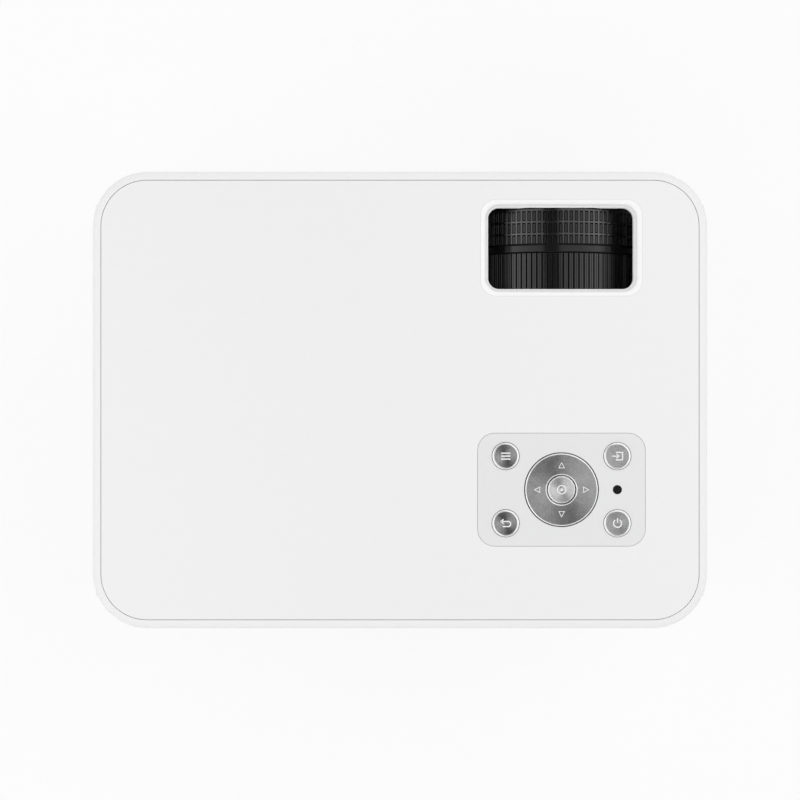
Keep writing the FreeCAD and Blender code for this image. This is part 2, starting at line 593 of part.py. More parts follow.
def bottom_cover():
    """The case's floor: a shallow pan with a lip inside the seam, and everything that stands on it."""
    pan = Moulding("bottom_cover")
    pan.add("XY", "foot_height", "base_rise", inset("0"))
    pan.round("base_round", at_height("foot_height"))
    pan.cut("XY", FLOOR, "base_rise", inset("wall + lip_gap + lip_thick"))
    pan.add("XY", SEAM, "lip_rise", inset("wall + lip_gap"), inset("wall + lip_gap + lip_thick"))
    cup_top = "foot_cup_roof + foot_cup_wall"
    pan.add("XY", FLOOR, f"{cup_top} - {FLOOR}", circle("foot_cup_radius + foot_cup_wall", *FOOT_AXIS))
    pan.add("XY", FLOOR, f"foot_boss_top - {FLOOR}", circle("foot_boss_radius", *FOOT_AXIS))
    pan.add("XY", FLOOR, f"{POST_LOW} - {FLOOR}", *circles("post_radius", SCREW_PLACES))
    pan.add("XY", FLOOR, "tripod_length + insert_cover - wall", circle("tripod_boss"))
    pan.add("XY", FLOOR, "ceiling_length + insert_cover - wall", *circles("ceiling_boss", CEILING_PLACES))
    for board in ("main", "supply"):
        pan.add("XY", FLOOR, f"board_z - {FLOOR}", *circles("standoff_radius", board_corners(board)))
    pan.add("XY", FLOOR, f"{BOX_LOW} - {FLOOR}", *circles("stand_radius", BOX_STANDS))
    pan.add("XY", FLOOR, f"fan_z - fan_size/2 - {FLOOR}", *circles("stand_radius", FAN_STANDS))
    pan.cut("XY", "foot_height", "foot_cup_roof - foot_height", circle("foot_cup_radius", *FOOT_AXIS))
    pan.cut("XY", "foot_height", "foot_boss_top", circle("foot_screw_radius + foot_screw_fit", *FOOT_AXIS))
    pan.cut("XY", "foot_height", "screw_recess", *circles("screw_head + seat_gap", SCREW_PLACES))
    pan.cut("XY", "foot_height", "base_rise", *circles("screw_radius + screw_fit", SCREW_PLACES))
    pan.cut("XY", "foot_height", "tripod_length", circle("tripod_radius + insert_fit"))
    pan.cut("XY", "foot_height", "ceiling_length", *circles("ceiling_radius + insert_fit", CEILING_PLACES))
    pan.cut("XY", "foot_height", "pad_recess", *circles("pad_radius + seat_gap", FOOT_PLACES))
    vents = (
        ("(supply_left + supply_right)/2 - vent_shift_x", f"{FRONT} + vent_lead"),
        ("lens_x", "path_y - vent_shift_y"),
    )
    for middle, along in vents:
        first = f"{middle} - (vent_count - 1)/2*vent_pitch"
        slot = rounded("vent_width", "vent_length", "vent_width*end_round", first, along)
        pan.cut("XY", "foot_height", "wall", slot).row("vent_count", "vent_pitch", "X")


def upper_housing():
    """The case's walls and the rim round the top: one shell, open below and open under the top panel."""
    shell = Moulding("upper_housing")
    shell.add("XY", SEAM, f"{TOP} - {SEAM}", inset("0"))
    shell.round("rim_round", at_height(TOP))
    shell.cut("XY", SEAM, f"{LEDGE} - {SEAM}", inset("wall"))
    shell.cut("XY", LEDGE, "ledge_thick + panel_thick", inset("rim_width + ledge_width"))
    shell.cut("XY", PANEL_BACK, "panel_thick", inset("rim_width"))
    webs, half = [], "post_web/2"
    for i in (-1, 1):
        for j in (-1, 1):
            near, far, y = f"({i})*{SCREW_X}", f"({i})*({SIDE} - wall/2)", f"({j})*{SCREW_Y}"
            webs.append(rectangle((near, far), (f"{y} - {half}", f"{y} + {half}")))
    low = f"{SEAM} + lip_rise + seat_gap"
    shell.add("XY", low, f"{LEDGE} - ({low})", *webs)
    shell.add("XY", POST_LOW, f"{LEDGE} - {POST_LOW}", *circles("post_radius", SCREW_PLACES))
    shell.cut("XY", POST_LOW, "screw_length", *circles("screw_radius + screw_fit", SCREW_PLACES))
    shell.cut("XZ", FRONT, "wall", circle("trim_hole", "lens_x", "lens_z"))
    shell.cut("XZ", FRONT, "trim_flange + seat_gap", circle("trim_radius + seat_gap", "lens_x", "lens_z"))
    shell.cut("XZ", FRONT, "wall", bezel_outline("slot_gap"))
    shell.cut("XZ", f"{BACK} - wall", "wall", port_outline("seat_gap"), inlet_outline("socket_fit"))
    shell.cut("XZ", f"{BACK} - inlet_flange", "inlet_flange", inlet_outline("inlet_border + seat_gap"))
    shell.cut("YZ", f"-{SIDE}", "body_width", grille_outline("seat_gap"))
    holes = [circle("speaker_hole", "speaker_y", "speaker_z")]
    for ring in range(1, int(size("hole_rings")) + 1):
        for i in range(6 * ring):
            turn = f"{60 * i / ring:.4g}"
            holes.append(
                circle(
                    "speaker_hole", f"speaker_y + {ring}*hole_pitch*cos({turn} deg)",
                    f"speaker_z + {ring}*hole_pitch*sin({turn} deg)",
                )
            )
    shell.cut("YZ", f"-{SIDE}", "body_width", *holes)


def bezel_outline(grow):
    """The tray's slot in the front wall, and the bezel that fills it."""
    return rounded(
        f"bezel_width + 2*({grow})", f"bezel_height + 2*({grow})", f"bezel_radius + ({grow})",
        "drive_x", BEZEL_Z,
    )


def port_outline(grow):
    """The socket panel's outline in the rear wall."""
    return rounded(
        f"port_width + 2*({grow})", f"port_height + 2*({grow})", f"port_radius + ({grow})",
        "port_mid_x", "port_low + port_height/2",
    )


def inlet_outline(grow):
    """The mains inlet's outline in the rear wall."""
    return rounded(
        f"inlet_width + 2*({grow})", f"inlet_height + 2*({grow})", f"inlet_radius + ({grow})",
        "inlet_x", "inlet_z",
    )


def grille_outline(grow):
    """A side grille's outline, in Y and Z."""
    return rounded(
        f"grille_length + 2*({grow})", f"grille_height + 2*({grow})", f"grille_radius + ({grow})",
        "fan_y", "fan_z",
    )


def side_grille(label, side):
    """A louvred plate that fills its hole in the side wall, with a flange behind the wall."""
    plate = Moulding(label)
    flange, face = (INSIDE, SIDE) if side > 0 else (f"-{INSIDE}", f"-{SIDE}")
    back = side < 0
    plate.add(
        "YZ", f"{flange} - ({side})*grille_flange", "grille_flange", grille_outline("grille_border"),
        back=back
    )
    plate.add("YZ", flange, "wall", grille_outline("0"), back=back)
    low = "fan_z - (slot_count - 1)/2*slot_pitch"
    length = "(grille_length/2 - grille_border - slot_rib/2)"
    slots = []
    for j in (-1, 1):
        middle = f"fan_y + ({j})*({length} + slot_rib)/2"
        slots.append(rounded(length, "slot_height", "slot_height*end_round", middle, low))
    start = f"{flange} - ({side})*grille_flange"
    plate.cut("YZ", start, "wall + grille_flange", *slots, back=back).row("slot_count", "slot_pitch", "Z")


def top_panel():
    """The panel that drops into the rim: lens window with its drafted collar, and the keys' recess."""
    panel = Moulding("top_panel")
    panel.add("XY", PANEL_BACK, "panel_thick", inset("rim_width + panel_gap"))
    collar = rounded(
        "window_width + 2*collar_wall", "window_length + 2*collar_wall", "window_radius + collar_wall",
        "lens_x", "window_y",
    )
    panel.add("XY", f"{TOP} - window_depth", "window_depth - panel_thick", collar)
    window = rounded("window_width", "window_length", "window_radius", "lens_x", "window_y")
    panel.cut("XY", TOP, "window_depth", window, back=True, taper="-atan(window_draft/window_depth)")
    reach = "window_width/2 + seat_gap"
    panel.round(
        "window_round",
        at_height(
            TOP, (f"lens_x - {reach}", f"lens_x + {reach}"), (f"window_y - {reach}", f"window_y + {reach}")
        ),
    )
    notch = f"{TUBE_FRONT} - ring_gap"
    panel.cut(
        "XZ", notch, f"{KEYSTONE_BACK} + ring_gap - ({notch})",
        circle("ring_radius + ring_clear", "lens_x", "lens_z")
    )
    panel.cut("XY", PLATE_BACK, "plate_thick", plate_outline("plate_gap"))
    panel.cut("XY", PANEL_BACK, "panel_thick", plate_outline("-plate_margin"))
    posts = corners("key_post_x", "key_post_y", "lens_x", "keys_y")
    panel.add("XY", "key_board_top", f"{PANEL_BACK} - key_board_top", *circles("key_post", posts))
    edge_x, edge_y = (f"({half} - rim_width - ledge_width - seat_gap)" for half in (SIDE, BACK))
    low = f"{LEDGE} - seat_gap - hook_height"
    hooks, catches = [], []
    for i in (-1, 1):
        for j in (-1, 1):
            along_x = (f"({j})*hook_spread_x - hook_width/2", f"({j})*hook_spread_x + hook_width/2")
            along_y = (f"({j})*hook_spread_y - hook_width/2", f"({j})*hook_spread_y + hook_width/2")
            out_x = [f"({i})*({edge_x} - hook_thick)", f"({i})*{edge_x}", f"({i})*({edge_x} + hook_catch)"]
            out_y = [f"({i})*({edge_y} - hook_thick)", f"({i})*{edge_y}", f"({i})*({edge_y} + hook_catch)"]
            hooks += [rectangle((out_x[0], out_x[1]), along_y), rectangle(along_x, (out_y[0], out_y[1]))]
            catches += [rectangle((out_x[0], out_x[2]), along_y), rectangle(along_x, (out_y[0], out_y[2]))]
    panel.add("XY", low, f"{PANEL_BACK} - ({low})", *hooks)
    panel.add("XY", low, "hook_height", *catches)


def plate_outline(grow):
    """The control plate's outline."""
    return rounded(
        f"plate_width + 2*({grow})", f"plate_length + 2*({grow})", f"plate_radius + ({grow})",
        "lens_x", "keys_y",
    )


def port_panel():
    """The rear panel with a hole for each socket."""
    panel = Moulding("port_panel")
    panel.add("XZ", f"{BACK} - wall - port_flange", "port_flange", port_outline("port_border"))
    panel.add("XZ", f"{BACK} - wall", "wall", port_outline("0"))
    holes = [
        rounded(
            f"{wide} + 2*socket_fit", f"{tall} + 2*socket_fit", "socket_round", x,
            f"{BOARD_TOP} + ({tall})/2"
        )
        for x, wide, tall in SOCKETS
    ]
    panel.cut("XZ", f"{BACK} - wall - port_flange", "wall + port_flange", *holes)


SHELLS = [
    ("hdmi_x", "hdmi_width", "hdmi_height"), ("usb_x", "usb_width", "usb_height"),
    ("vga_x", "vga_width", "vga_height"),
]
JACKS = [("jack_left_x", "jack_width", "jack_height"), ("jack_right_x", "jack_width", "jack_height")]
SOCKETS = SHELLS + JACKS


def rubber_feet():
    """Four pads in the floor's recesses."""
    pads = [rod("Z", "pad_radius", place, ("0", "foot_height + pad_recess")) for place in FOOT_PLACES]
    group("rubber_feet", *pads)


def foot_screw():
    """The levelling foot at the front: a threaded shank with a knurled wheel to turn it by."""
    screw = Moulding("foot_screw")
    low = "foot_pad_clear + foot_pad_thick"
    screw.add("XY", low, "foot_knob_thick", circle("foot_knob_radius"))
    screw.add("XY", low, f"foot_screw_top - ({low})", circle("foot_screw_radius"))
    screw.cut("XY", low, "foot_knob_thick", circle("knurl_radius", "foot_knob_radius")).repeat(
        "knurl_count", "Z"
    )
    screw.cut("XY", low, "foot_pin_length + foot_screw_fit", circle("foot_pin_radius + foot_screw_fit"))
    screw.move(y="foot_y")


def foot_pad():
    """The disc under the levelling foot, with the pin that the screw turns on."""
    disc = rod("Z", "foot_pad_radius", FOOT_AXIS, ("foot_pad_clear", "foot_pad_clear + foot_pad_thick"))
    pin_top = "foot_pad_clear + foot_pad_thick + foot_pin_length"
    node("foot_pad", joined(disc, rod("Z", "foot_pin_radius", FOOT_AXIS, ("foot_pad_clear", pin_top))))


def threaded_inserts():
    """Brass inserts in the floor: one for a tripod, four for a ceiling bracket."""
    sizes = [("tripod", ("0", "0"))] + [("ceiling", place) for place in CEILING_PLACES]
    inserts = []
    for kind, place in sizes:
        span = ("foot_height", f"foot_height + {kind}_length")
        thread = rod("Z", f"{kind}_bore", place, span)
        inserts.append(minus(rod("Z", f"{kind}_radius", place, span), thread))
    group("threaded_inserts", *inserts)


def case_screws():
    """Four screws that hold the floor to the posts of the upper housing."""
    screws = []
    for place in SCREW_PLACES:
        head = rod("Z", "screw_head", place, (f"{SCREW_SEAT} - screw_head_thick", SCREW_SEAT))
        shank = rod("Z", "screw_radius", place, (SCREW_SEAT, f"{SCREW_SEAT} + screw_length"))
        screws.append(joined(head, shank))
    group("case_screws", *screws)


# ------------------------------------------------------------------ control panel

KEYS = {
    "menu_button": ("key_half_x", "-key_half_y"),
    "source_button": ("-key_half_x", "-key_half_y"),
    "back_button": ("key_half_x", "key_half_y"),
    "power_button": ("-key_half_x", "key_half_y"),
}
NAV_SWITCHES = [("nav_switch", "0"), ("-nav_switch", "0"), ("0", "nav_switch"), ("0", "-nav_switch")]


def on_plate(x, y):
    """A place given from the middle of the control plate."""
    return (f"lens_x + ({x})", f"keys_y + ({y})")


def control_plate():
    """The thin metal plate round the keys."""
    plate = Moulding("control_plate")
    plate.add("XY", PLATE_BACK, "plate_thick", plate_outline("0"))
    holes = [circle("key_radius + key_gap", *on_plate(*place)) for place in KEYS.values()]
    holes.append(circle("nav_radius + nav_gap", *on_plate("0", "0")))
    holes.append(circle("ir_radius + ir_gap", *on_plate("ir_x", "0")))
    plate.cut("XY", PLATE_BACK, "plate_thick", *holes)


def key(label, place):
    """A round key: cap, retaining flange, stem, and the thin plunger that works the switch."""
    cap = Moulding(label)
    flange_top = f"{PLATE_BACK} - flange_gap"
    stem_low = f"{SWITCH_TOP} + stem_gap"
    cap.add("XY", f"{flange_top} - flange_thick", "flange_thick", circle("key_flange"))
    cap.add("XY", flange_top, f"{TOP} + key_proud - ({flange_top})", circle("key_radius"))
    cap.add("XY", stem_low, f"{flange_top} - ({stem_low})", circle("key_stem"))
    cap.add("XY", PLUNGER_END, f"{flange_top} - {PLUNGER_END}", circle("plunger_radius"))
    cap.round("key_round", at_height(f"{TOP} + key_proud"), "Chamfer")
    cap.move(*on_plate(*place))


def ok_button():
    """The middle key: its flange sits in the sleeve under the ring."""
    cap = Moulding("ok_button")
    flange_top = f"{NAV_LOW} - ok_clear"
    cap.add("XY", f"{flange_top} - ok_flange_thick", "ok_flange_thick", circle("ok_flange"))
    cap.add("XY", flange_top, f"{TOP} + ok_proud - ({flange_top})", circle("ok_radius"))
    cap.add("XY", PLUNGER_END, f"{flange_top} - {PLUNGER_END}", circle("plunger_radius"))
    cap.round("key_round", at_height(f"{TOP} + ok_proud"), "Chamfer")
    cap.move(*on_plate("0", "0"))


def nav_ring():
    """The rocking ring: a flange below the plate, four plungers, and two lugs for its pivot pins."""
    ring = Moulding("nav_ring")
    ring.add("XY", NAV_LOW, "flange_thick", circle("nav_flange"))
    ring.add("XY", NAV_FLANGE_TOP, f"{TOP} + nav_proud - {NAV_FLANGE_TOP}", circle("nav_radius"))
    lug_low = f"{PIVOT_Z} - spider_pin - lug_drop"
    lugs = [rectangle(("-lug_half", "lug_half"), (f"({i})*lug_inner", f"({i})*lug_outer")) for i in (-1, 1)]
    ring.add("XY", lug_low, f"{NAV_LOW} - ({lug_low})", *lugs)
    ring.add("XY", PLUNGER_END, f"{NAV_LOW} - {PLUNGER_END}", *circles("plunger_radius", NAV_SWITCHES))
    ring.cut("XY", NAV_LOW, f"{TOP} + nav_proud - {NAV_LOW}", circle("nav_bore"))
    ring.cut("XZ", "-lug_outer", "2*lug_outer", circle("spider_pin + pin_hole_fit", "0", PIVOT_Z))
    ring.round("key_round", at_height(f"{TOP} + nav_proud"), "Chamfer")
    ring.move(*on_plate("0", "0"))


def nav_spider():
    """The gimbal ring between the sleeve and the rocking ring: two pins inwards, two outwards."""
    ring = Moulding("nav_spider")
    ring.add("XY", "spider_z", "spider_thick", circle("spider_outer"), circle("spider_inner"))
    inner, pin = "sleeve_bore + seat_gap", circle("spider_pin", "0", PIVOT_Z)
    for i in (-1, 1):
        ring.add("YZ", f"({i})*({inner})", f"spider_outer - ({inner}) - pin_root", pin, back=i < 0)
        ring.add(
            "XZ", f"({i})*(spider_inner + pin_root)", "spider_pin_end - spider_inner - pin_root", pin,
            back=i < 0,
        )
    ring.move(*on_plate("0", "0"))


def key_board():
    """The keys' circuit board, hung on the panel's posts, with the sleeve that guides the middle key."""
    board = Moulding("key_board")
    half_x, half_y = "key_board_width/2", "key_board_length/2"
    board.add(
        "XY", "key_board_top - board_thick", "board_thick",
        rectangle((f"-{half_x}", half_x), (f"-{half_y}", half_y))
    )
    board.add(
        "XY", "key_board_top", "sleeve_top - key_board_top", circle("sleeve_bore + sleeve_wall"), circle(
            "sleeve_bore"
        )
    )
    eye = "ir_receiver/2"
    board.add(
        "XY", "key_board_top", "ir_receiver",
        rectangle((f"ir_x - {eye}", f"ir_x + {eye}"), (f"-{eye}", eye))
    )
    reach = "sleeve_bore + 2*sleeve_wall"
    board.cut("YZ", f"-({reach})", f"2*({reach})", circle("spider_pin + pin_hole_fit", "0", PIVOT_Z))
    board.move(*on_plate("0", "0"))


def tact_switches():
    """Nine push switches, each with the bore that its plunger enters."""
    switches, half = [], "switch_size/2"
    for place in list(KEYS.values()) + NAV_SWITCHES + [("0", "0")]:
        x, y = on_plate(*place)
        body = box(
            (f"{x} - {half}", f"{x} + {half}"), (f"{y} - {half}", f"{y} + {half}"),
            ("key_board_top", SWITCH_TOP)
        )
        depth = (f"{SWITCH_TOP} - switch_bore_depth", f"{SWITCH_TOP} + spare")
        switches.append(minus(body, rod("Z", SWITCH_BORE, (x, y), depth)))
    group("tact_switches", *switches)


def ir_window():
    """The dark window over the remote control's receiver."""
    place = on_plate("ir_x", "0")
    flange = rod("Z", "ir_flange", place, (f"{PLATE_BACK} - flange_thick", PLATE_BACK))
    node("ir_window", joined(flange, rod("Z", "ir_radius", place, (PLATE_BACK, TOP))))


# ------------------------------------------------------------------ lens
# These pieces are turned about the lens axis, then moved to it.


def to_lens(piece):
    return piece.move(x="lens_x", z="lens_z")


def lens_trim_ring():
    """The funnel in the front wall: flush flange, wall to locate it, mouth that narrows to the lens."""
    front, sleeve = f"{FRONT} + seat_gap", "trim_hole - seat_gap"
    profile = polygon(
        ("trim_mouth", front), ("trim_radius", front), ("trim_radius", f"{front} + trim_flange"),
        (sleeve, f"{front} + trim_flange"), (sleeve, f"{FRONT} + wall"),
        ("trim_throat + trim_wall", "trim_rear"), ("trim_throat", "trim_rear"),
    )
    to_lens(Moulding("lens_trim_ring").turn(profile))


def lens_tube():
    """The fixed tube inside the two rings: a flange keeps them on, slots guide the barrel's pins."""
    rim = f"{TUBE_FRONT} + retainer_thick"
    tube = Moulding("lens_tube").turn(
        polygon(
            (TUBE_BORE, TUBE_FRONT), ("retainer_radius", TUBE_FRONT), ("retainer_radius", rim), (TUBE, rim),
            (TUBE, BRACKET_FRONT), (TUBE_BORE, BRACKET_FRONT),
        )
    )
    half_width, half_length = "(pin_radius + pin_fit)", "(focus_travel + pin_radius + pin_end_gap)"
    slot = rectangle((f"-{half_width}", half_width), (f"pin_y - {half_length}", f"pin_y + {half_length}"))
    tube.cut("XY", "0", "ring_radius", slot).repeat("pin_count")
    to_lens(tube)


def focus_ring():
    """The front ring, with raised rows for the thumb and a relief inside for the barrel's pins."""
    back, bare = "focus_front + focus_length", "ring_radius - row_proud"
    profile = [(RING_BORE, "focus_front"), (bare, "focus_front")]
    for i in range(int(size("row_count"))):
        start = f"focus_front + row_start + {i}*row_pitch"
        end = f"{start} + row_length"
        profile += [(bare, start), ("ring_radius", start), ("ring_radius", end), (bare, end)]
    profile += [(bare, back), (RING_BORE, back)]
    ring = Moulding("focus_ring").turn(polygon(*profile))
    reach = "(focus_travel + pin_radius + relief_margin)"
    relief = rectangle(
        (RING_BORE + " - spare", f"{RING_BORE} + relief_depth"), (f"pin_y - {reach}", f"pin_y + {reach}")
    )
    to_lens(ring.turn(relief, remove=True))


def keystone_ring():
    """The rear ring. The ramp on its rear face pushes the rod that tilts the mirror."""
    ring = Moulding("keystone_ring")
    ring.add("XZ", KEYSTONE_FRONT, "keystone_length", circle("ring_radius"))
    high, low = (f"{KEYSTONE_BACK} + cam_middle {sign} cam_slope*cam_half_width" for sign in "+-")
    inside = f"{KEYSTONE_BACK} - spare"
    ramp = polygon(
        ("-cam_half_width", inside), ("cam_half_width", inside), ("cam_half_width", low),
        ("-cam_half_width", high),
    )
    foot = f"(sqrt({RING_BORE}^2 - cam_half_width^2) - cam_spare)"
    ring.add("XY", foot, f"ring_radius + cam_spare - {foot}", ramp)
    behind = f"({high} - {KEYSTONE_BACK} + 2*cam_spare)"
    around = (circle("ring_radius + cam_half_width"), circle("ring_radius"))
    ring.cut("XZ", f"{KEYSTONE_BACK} - cam_spare", behind, *around)
    ring.cut("XZ", KEYSTONE_FRONT, f"keystone_length + {behind}", circle(RING_BORE))
    to_lens(ring)


def lens_barrel():
    """The sliding barrel that holds both lenses; its three pins run in the tube's slots."""
    back = "barrel_front + barrel_length"
    barrel = Moulding("lens_barrel").turn(
        polygon(
            (BARREL_BORE, "barrel_front"), (BARREL, "barrel_front"), (BARREL, back), ("rear_bore", back),
            ("rear_bore", "rear_step"), ("barrel_middle_bore", "rear_step"),
            ("barrel_middle_bore", "barrel_step"), (BARREL_BORE, "barrel_step"),
        )
    )
    low = f"{BARREL} - barrel_wall/2"
    end = f"{RING_BORE} + relief_depth - pin_end_gap"
    barrel.add("XY", low, f"{end} - ({low})", circle("pin_radius", "0", "pin_y")).repeat("pin_count")
    to_lens(barrel)


def glass(label, radius, flat, edge, side):
    """A plano-convex lens: its flat face at one place along Y, its bulge towards -Y or +Y."""
    shoulder = f"({flat}) + ({side})*({edge})"
    middle = f"{shoulder} - ({side})*sqrt(lens_curve^2 - ({radius})^2)"
    ends = [f"({flat})", f"{middle} + ({side})*lens_curve"]
    disc = rod("Y", radius, ("lens_x", "lens_z"), ends if side > 0 else ends[::-1])
    node(label, shared(disc, ball("lens_curve", "lens_x", middle, "lens_z")))


def lens_bracket():
    """The plate that the tube is screwed to, standing on the floor, with a hood that keeps light in."""
    plate = Moulding("lens_bracket")
    half = "bracket_half_width"
    foot, top = f"{FLOOR} - lens_z", "bracket_top"
    plate.add("XZ", BRACKET_FRONT, "bracket_thick", rectangle((f"-{half}", half), (foot, top)))
    outer = hood_outline("0")
    plate.add("XZ", "bracket_y", "box_front - bracket_y", outer)
    plate.cut("XZ", "bracket_y", "box_front - bracket_y", hood_outline("hood_wall"))
    plate.cut("XZ", BRACKET_FRONT, "bracket_thick", circle("bracket_window"))
    inner = "(nose_size/2 + rod_fit)"
    prongs = [
        rectangle((f"({i})*{inner}", f"({i})*({inner} + fork_wall)"), (top, "bracket_top + fork_height"))
        for i in (-1, 1)
    ]
    plate.add("XZ", BRACKET_FRONT, "bracket_thick", *prongs)
    to_lens(plate)


def hood_outline(shrink):
    """The light shroud's outline, about the lens axis."""
    wide, tall = f"hood_half_width - ({shrink})", f"hood_half_height - ({shrink})"
    return rectangle((f"-({wide})", wide), (f"-({tall})", tall))


# ------------------------------------------------------------------ light box


def across_box(x, z):
    """A block over the whole inside width of the light box."""
    return box(x, ("box_front + box_wall", "box_back - box_wall"), z)


def box_half(label, z, inner, extras, holes=()):
    """One half of the light box: a tub with ribs, bearing blocks and the openings at its ends."""
    outer = box(("box_left", "box_right"), ("box_front", "box_back"), z)
    tub = joined(minus(outer, across_box(("box_left + box_wall", "box_right - box_wall"), inner)), *extras)
    wide, tall = "(hood_half_width - hood_wall)", "(hood_half_height - hood_wall)"
    to_lens_hole = box(
        (f"lens_x - {wide}", f"lens_x + {wide}"), ("box_front - spare", "box_front + box_wall"),
        (f"lens_z - {tall}", f"lens_z + {tall}"),
    )
    half = "(lamp_size/2 + lamp_fit)"
    lamp_hole = box(
        ("box_right - box_wall", "box_right + spare"), (f"path_y - {half}", f"path_y + {half}"),
        (f"lens_z - {half}", f"lens_z + {half}"),
    )
    node(label, minus(tub, to_lens_hole, lamp_hole, *holes))


OPTICS = [
    ("fresnel_front_x", "fresnel_thick"), ("lcd_x", "lcd_thick"), ("fresnel_rear_x", "fresnel_thick"),
    ("condenser_x", "condenser_edge"),
]


def optic_ribs(z):
    """Pairs of ribs that hold each flat optic on edge."""
    ribs = []
    for x, thick in OPTICS:
        gap = f"(({thick})/2 + optic_fit)"
        ribs.append(across_box((f"{x} - {gap} - rib_size", f"{x} - {gap}"), z))
        if x != "condenser_x":
            ribs.append(across_box((f"{x} + {gap}", f"{x} + {gap} + rib_size"), z))
    return ribs


def turned(shape):
    """Set a shape that is built about the origin at the mirror's middle, turned by 45 degrees."""
    shape.Placement = PLACE(VEC(), TURN(VEC(0, 0, 1), 45))
    return bind(shape, x="lens_x", y="path_y", z="lens_z")


def bearing_blocks(z):
    """The half bearings at both ends of the mirror's frame."""
    reach, half = f"({FRAME_END} + bearing_gap)", "bearing_half"
    blocks = [
        box((near, far), (f"-{half}", half), z)
        for near, far in ((reach, f"{reach} + pivot_length"), (f"-{reach} - pivot_length", f"-{reach}"))
    ]
    bore = f"{reach} + pivot_length + spare"
    hole = rod("X", "pivot_radius + pivot_fit", ("0", "0"), (f"-({bore})", bore))
    return turned(minus(joined(*blocks), hole))


def light_box_lower():
    """The lower half: floor, ribs and lower bearings."""
    floor = "(box_wall - box_half_height)"
    extras = optic_ribs((BOX_LOW, f"{BOX_LOW} + box_wall + rib_size")) + [bearing_blocks((floor, "0"))]
    box_half("light_box_lower", (BOX_LOW, "lens_z"), (f"{BOX_LOW} + box_wall", "lens_z + spare"), extras)


def light_box_upper():
    """The upper half: lid, ribs, upper bearings, the arm's slot and the rod's two guides."""
    roof = "(box_half_height - box_wall)"
    extras = optic_ribs((f"{BOX_HIGH} - box_wall - rib_size", BOX_HIGH)) + [bearing_blocks(("0", roof))]
    inner, rest = "(rod_width/2 + rod_fit)", "rod_z - rod_thick/2 - rod_fit"
    for middle in ("guide_front_y", "guide_rear_y"):
        y = (f"{middle} - guide_length/2", f"{middle} + guide_length/2")
        extras.append(box((f"lens_x - {inner}", f"lens_x + {inner}"), y, (f"{BOX_HIGH} - box_wall", rest)))
        for i in (-1, 1):
            sides = sorted((f"{inner}", f"({inner} + guide_wall)"), key=len, reverse=i < 0)
            x = tuple(f"lens_x + ({i})*{side}" for side in sides)
            extras.append(box(x, y, (f"{BOX_HIGH} - box_wall", "rod_z + rod_thick/2")))
    slot, half_slot = "arm_slot/2", "arm_slot/3"
    hole = box(
        (f"lens_x - {slot}", f"lens_x + {slot}"), (f"path_y - {half_slot}", f"path_y + {half_slot}"),
        (f"{BOX_HIGH} - box_wall", f"{BOX_HIGH} + spare"),
    )
    room = ("lens_z - spare", f"{BOX_HIGH} - box_wall")
    box_half("light_box_upper", ("lens_z", BOX_HIGH), room, extras, [hole])


def mirror():
    """The mirror that turns the picture from along X to along -Y."""
    face = Moulding("mirror")
    outline = rectangle(("-mirror_length/2", "mirror_length/2"), ("-mirror_height/2", "mirror_height/2"))
    face.add("XZ", "-mirror_thick/2", "mirror_thick", outline)
    turned(face.body)


def mirror_frame():
    """The tray that carries the mirror, with its two pivots and the arm that tips it."""
    front, back = "-mirror_thick/2", "(frame_thick - mirror_thick/2)"
    tall = "(mirror_height/2 + seat_gap + frame_border)"
    tray = box((f"-{FRAME_END}", FRAME_END), (front, back), (f"-{tall}", tall))
    seat_x, seat_z = "(mirror_length/2 + seat_gap)", "(mirror_height/2 + seat_gap)"
    seat = box((f"-{seat_x}", seat_x), (f"{front} - spare", "mirror_thick/2"), (f"-{seat_z}", seat_z))
    pivot = f"({FRAME_END} + bearing_gap + pivot_length)"
    pins = [
        rod("X", "pivot_radius", ("0", "0"), (FRAME_END, pivot)),
        rod("X", "pivot_radius", ("0", "0"), (f"-{pivot}", f"-{FRAME_END}"))
    ]
    arm = rod("Z", "arm_radius", ("0", f"{back} - arm_radius"), ("mirror_height/2", "arm_top"))
    node("mirror_frame", turned(joined(minus(tray, seat), *pins, arm)))


def keystone_rod():
    """The rod from the ring's ramp, over the bracket, to the mirror's arm."""
    nose, half = "nose_size/2", "rod_width/2"
    tip = f"({KEYSTONE_BACK} + cam_middle + nose_gap + {nose})"
    z = (f"nose_z - {nose}", f"nose_z + {nose}")
    low, high = "rod_z - rod_thick/2", "rod_z + rod_thick/2"
    pad_y = ("path_y - pad_half_length", "path_y + pad_half_length")
    wide_x = (f"lens_x - {half}", f"lens_x + {half}")
    body = joined(
        rod("Z", nose, ("lens_x", tip), z),
        box((f"lens_x - {nose}", f"lens_x + {nose}"), (tip, "rod_drop_y"), z),
        box(wide_x, ("rod_drop_y", "rod_drop_y + rod_thick"), (low, z[1])),
        box(wide_x, ("rod_drop_y", pad_y[0]), (low, high)),
        box(("lens_x - pad_width/2", "lens_x + pad_width/2"), pad_y, (low, high)),
    )
    slot, wide = "arm_slot/2", "(arm_radius + rod_fit)"
    hole = box(
        (f"lens_x - {slot}", f"lens_x + {slot}"), (f"{ARM_Y} - {wide}", f"{ARM_Y} + {wide}"),
        (f"{low} - spare", f"{high} + spare")
    )
    node("keystone_rod", minus(body, hole))


ARM_Y = "(path_y + (frame_thick - mirror_thick/2 - arm_radius)*sqrt(0.5))"


def flat_optic(label, x, thick):
    """A flat optic that stands across the light's path, a little clear of the box."""
    y = "((box_back - box_front)/2 - box_wall - optic_fit)"
    plate = box(
        (f"{x} - ({thick})/2", f"{x} + ({thick})/2"), (f"path_y - {y}", f"path_y + {y}"),
        (f"lens_z - {OPTIC_HALF}", f"lens_z + {OPTIC_HALF}")
    )
    node(label, plate)


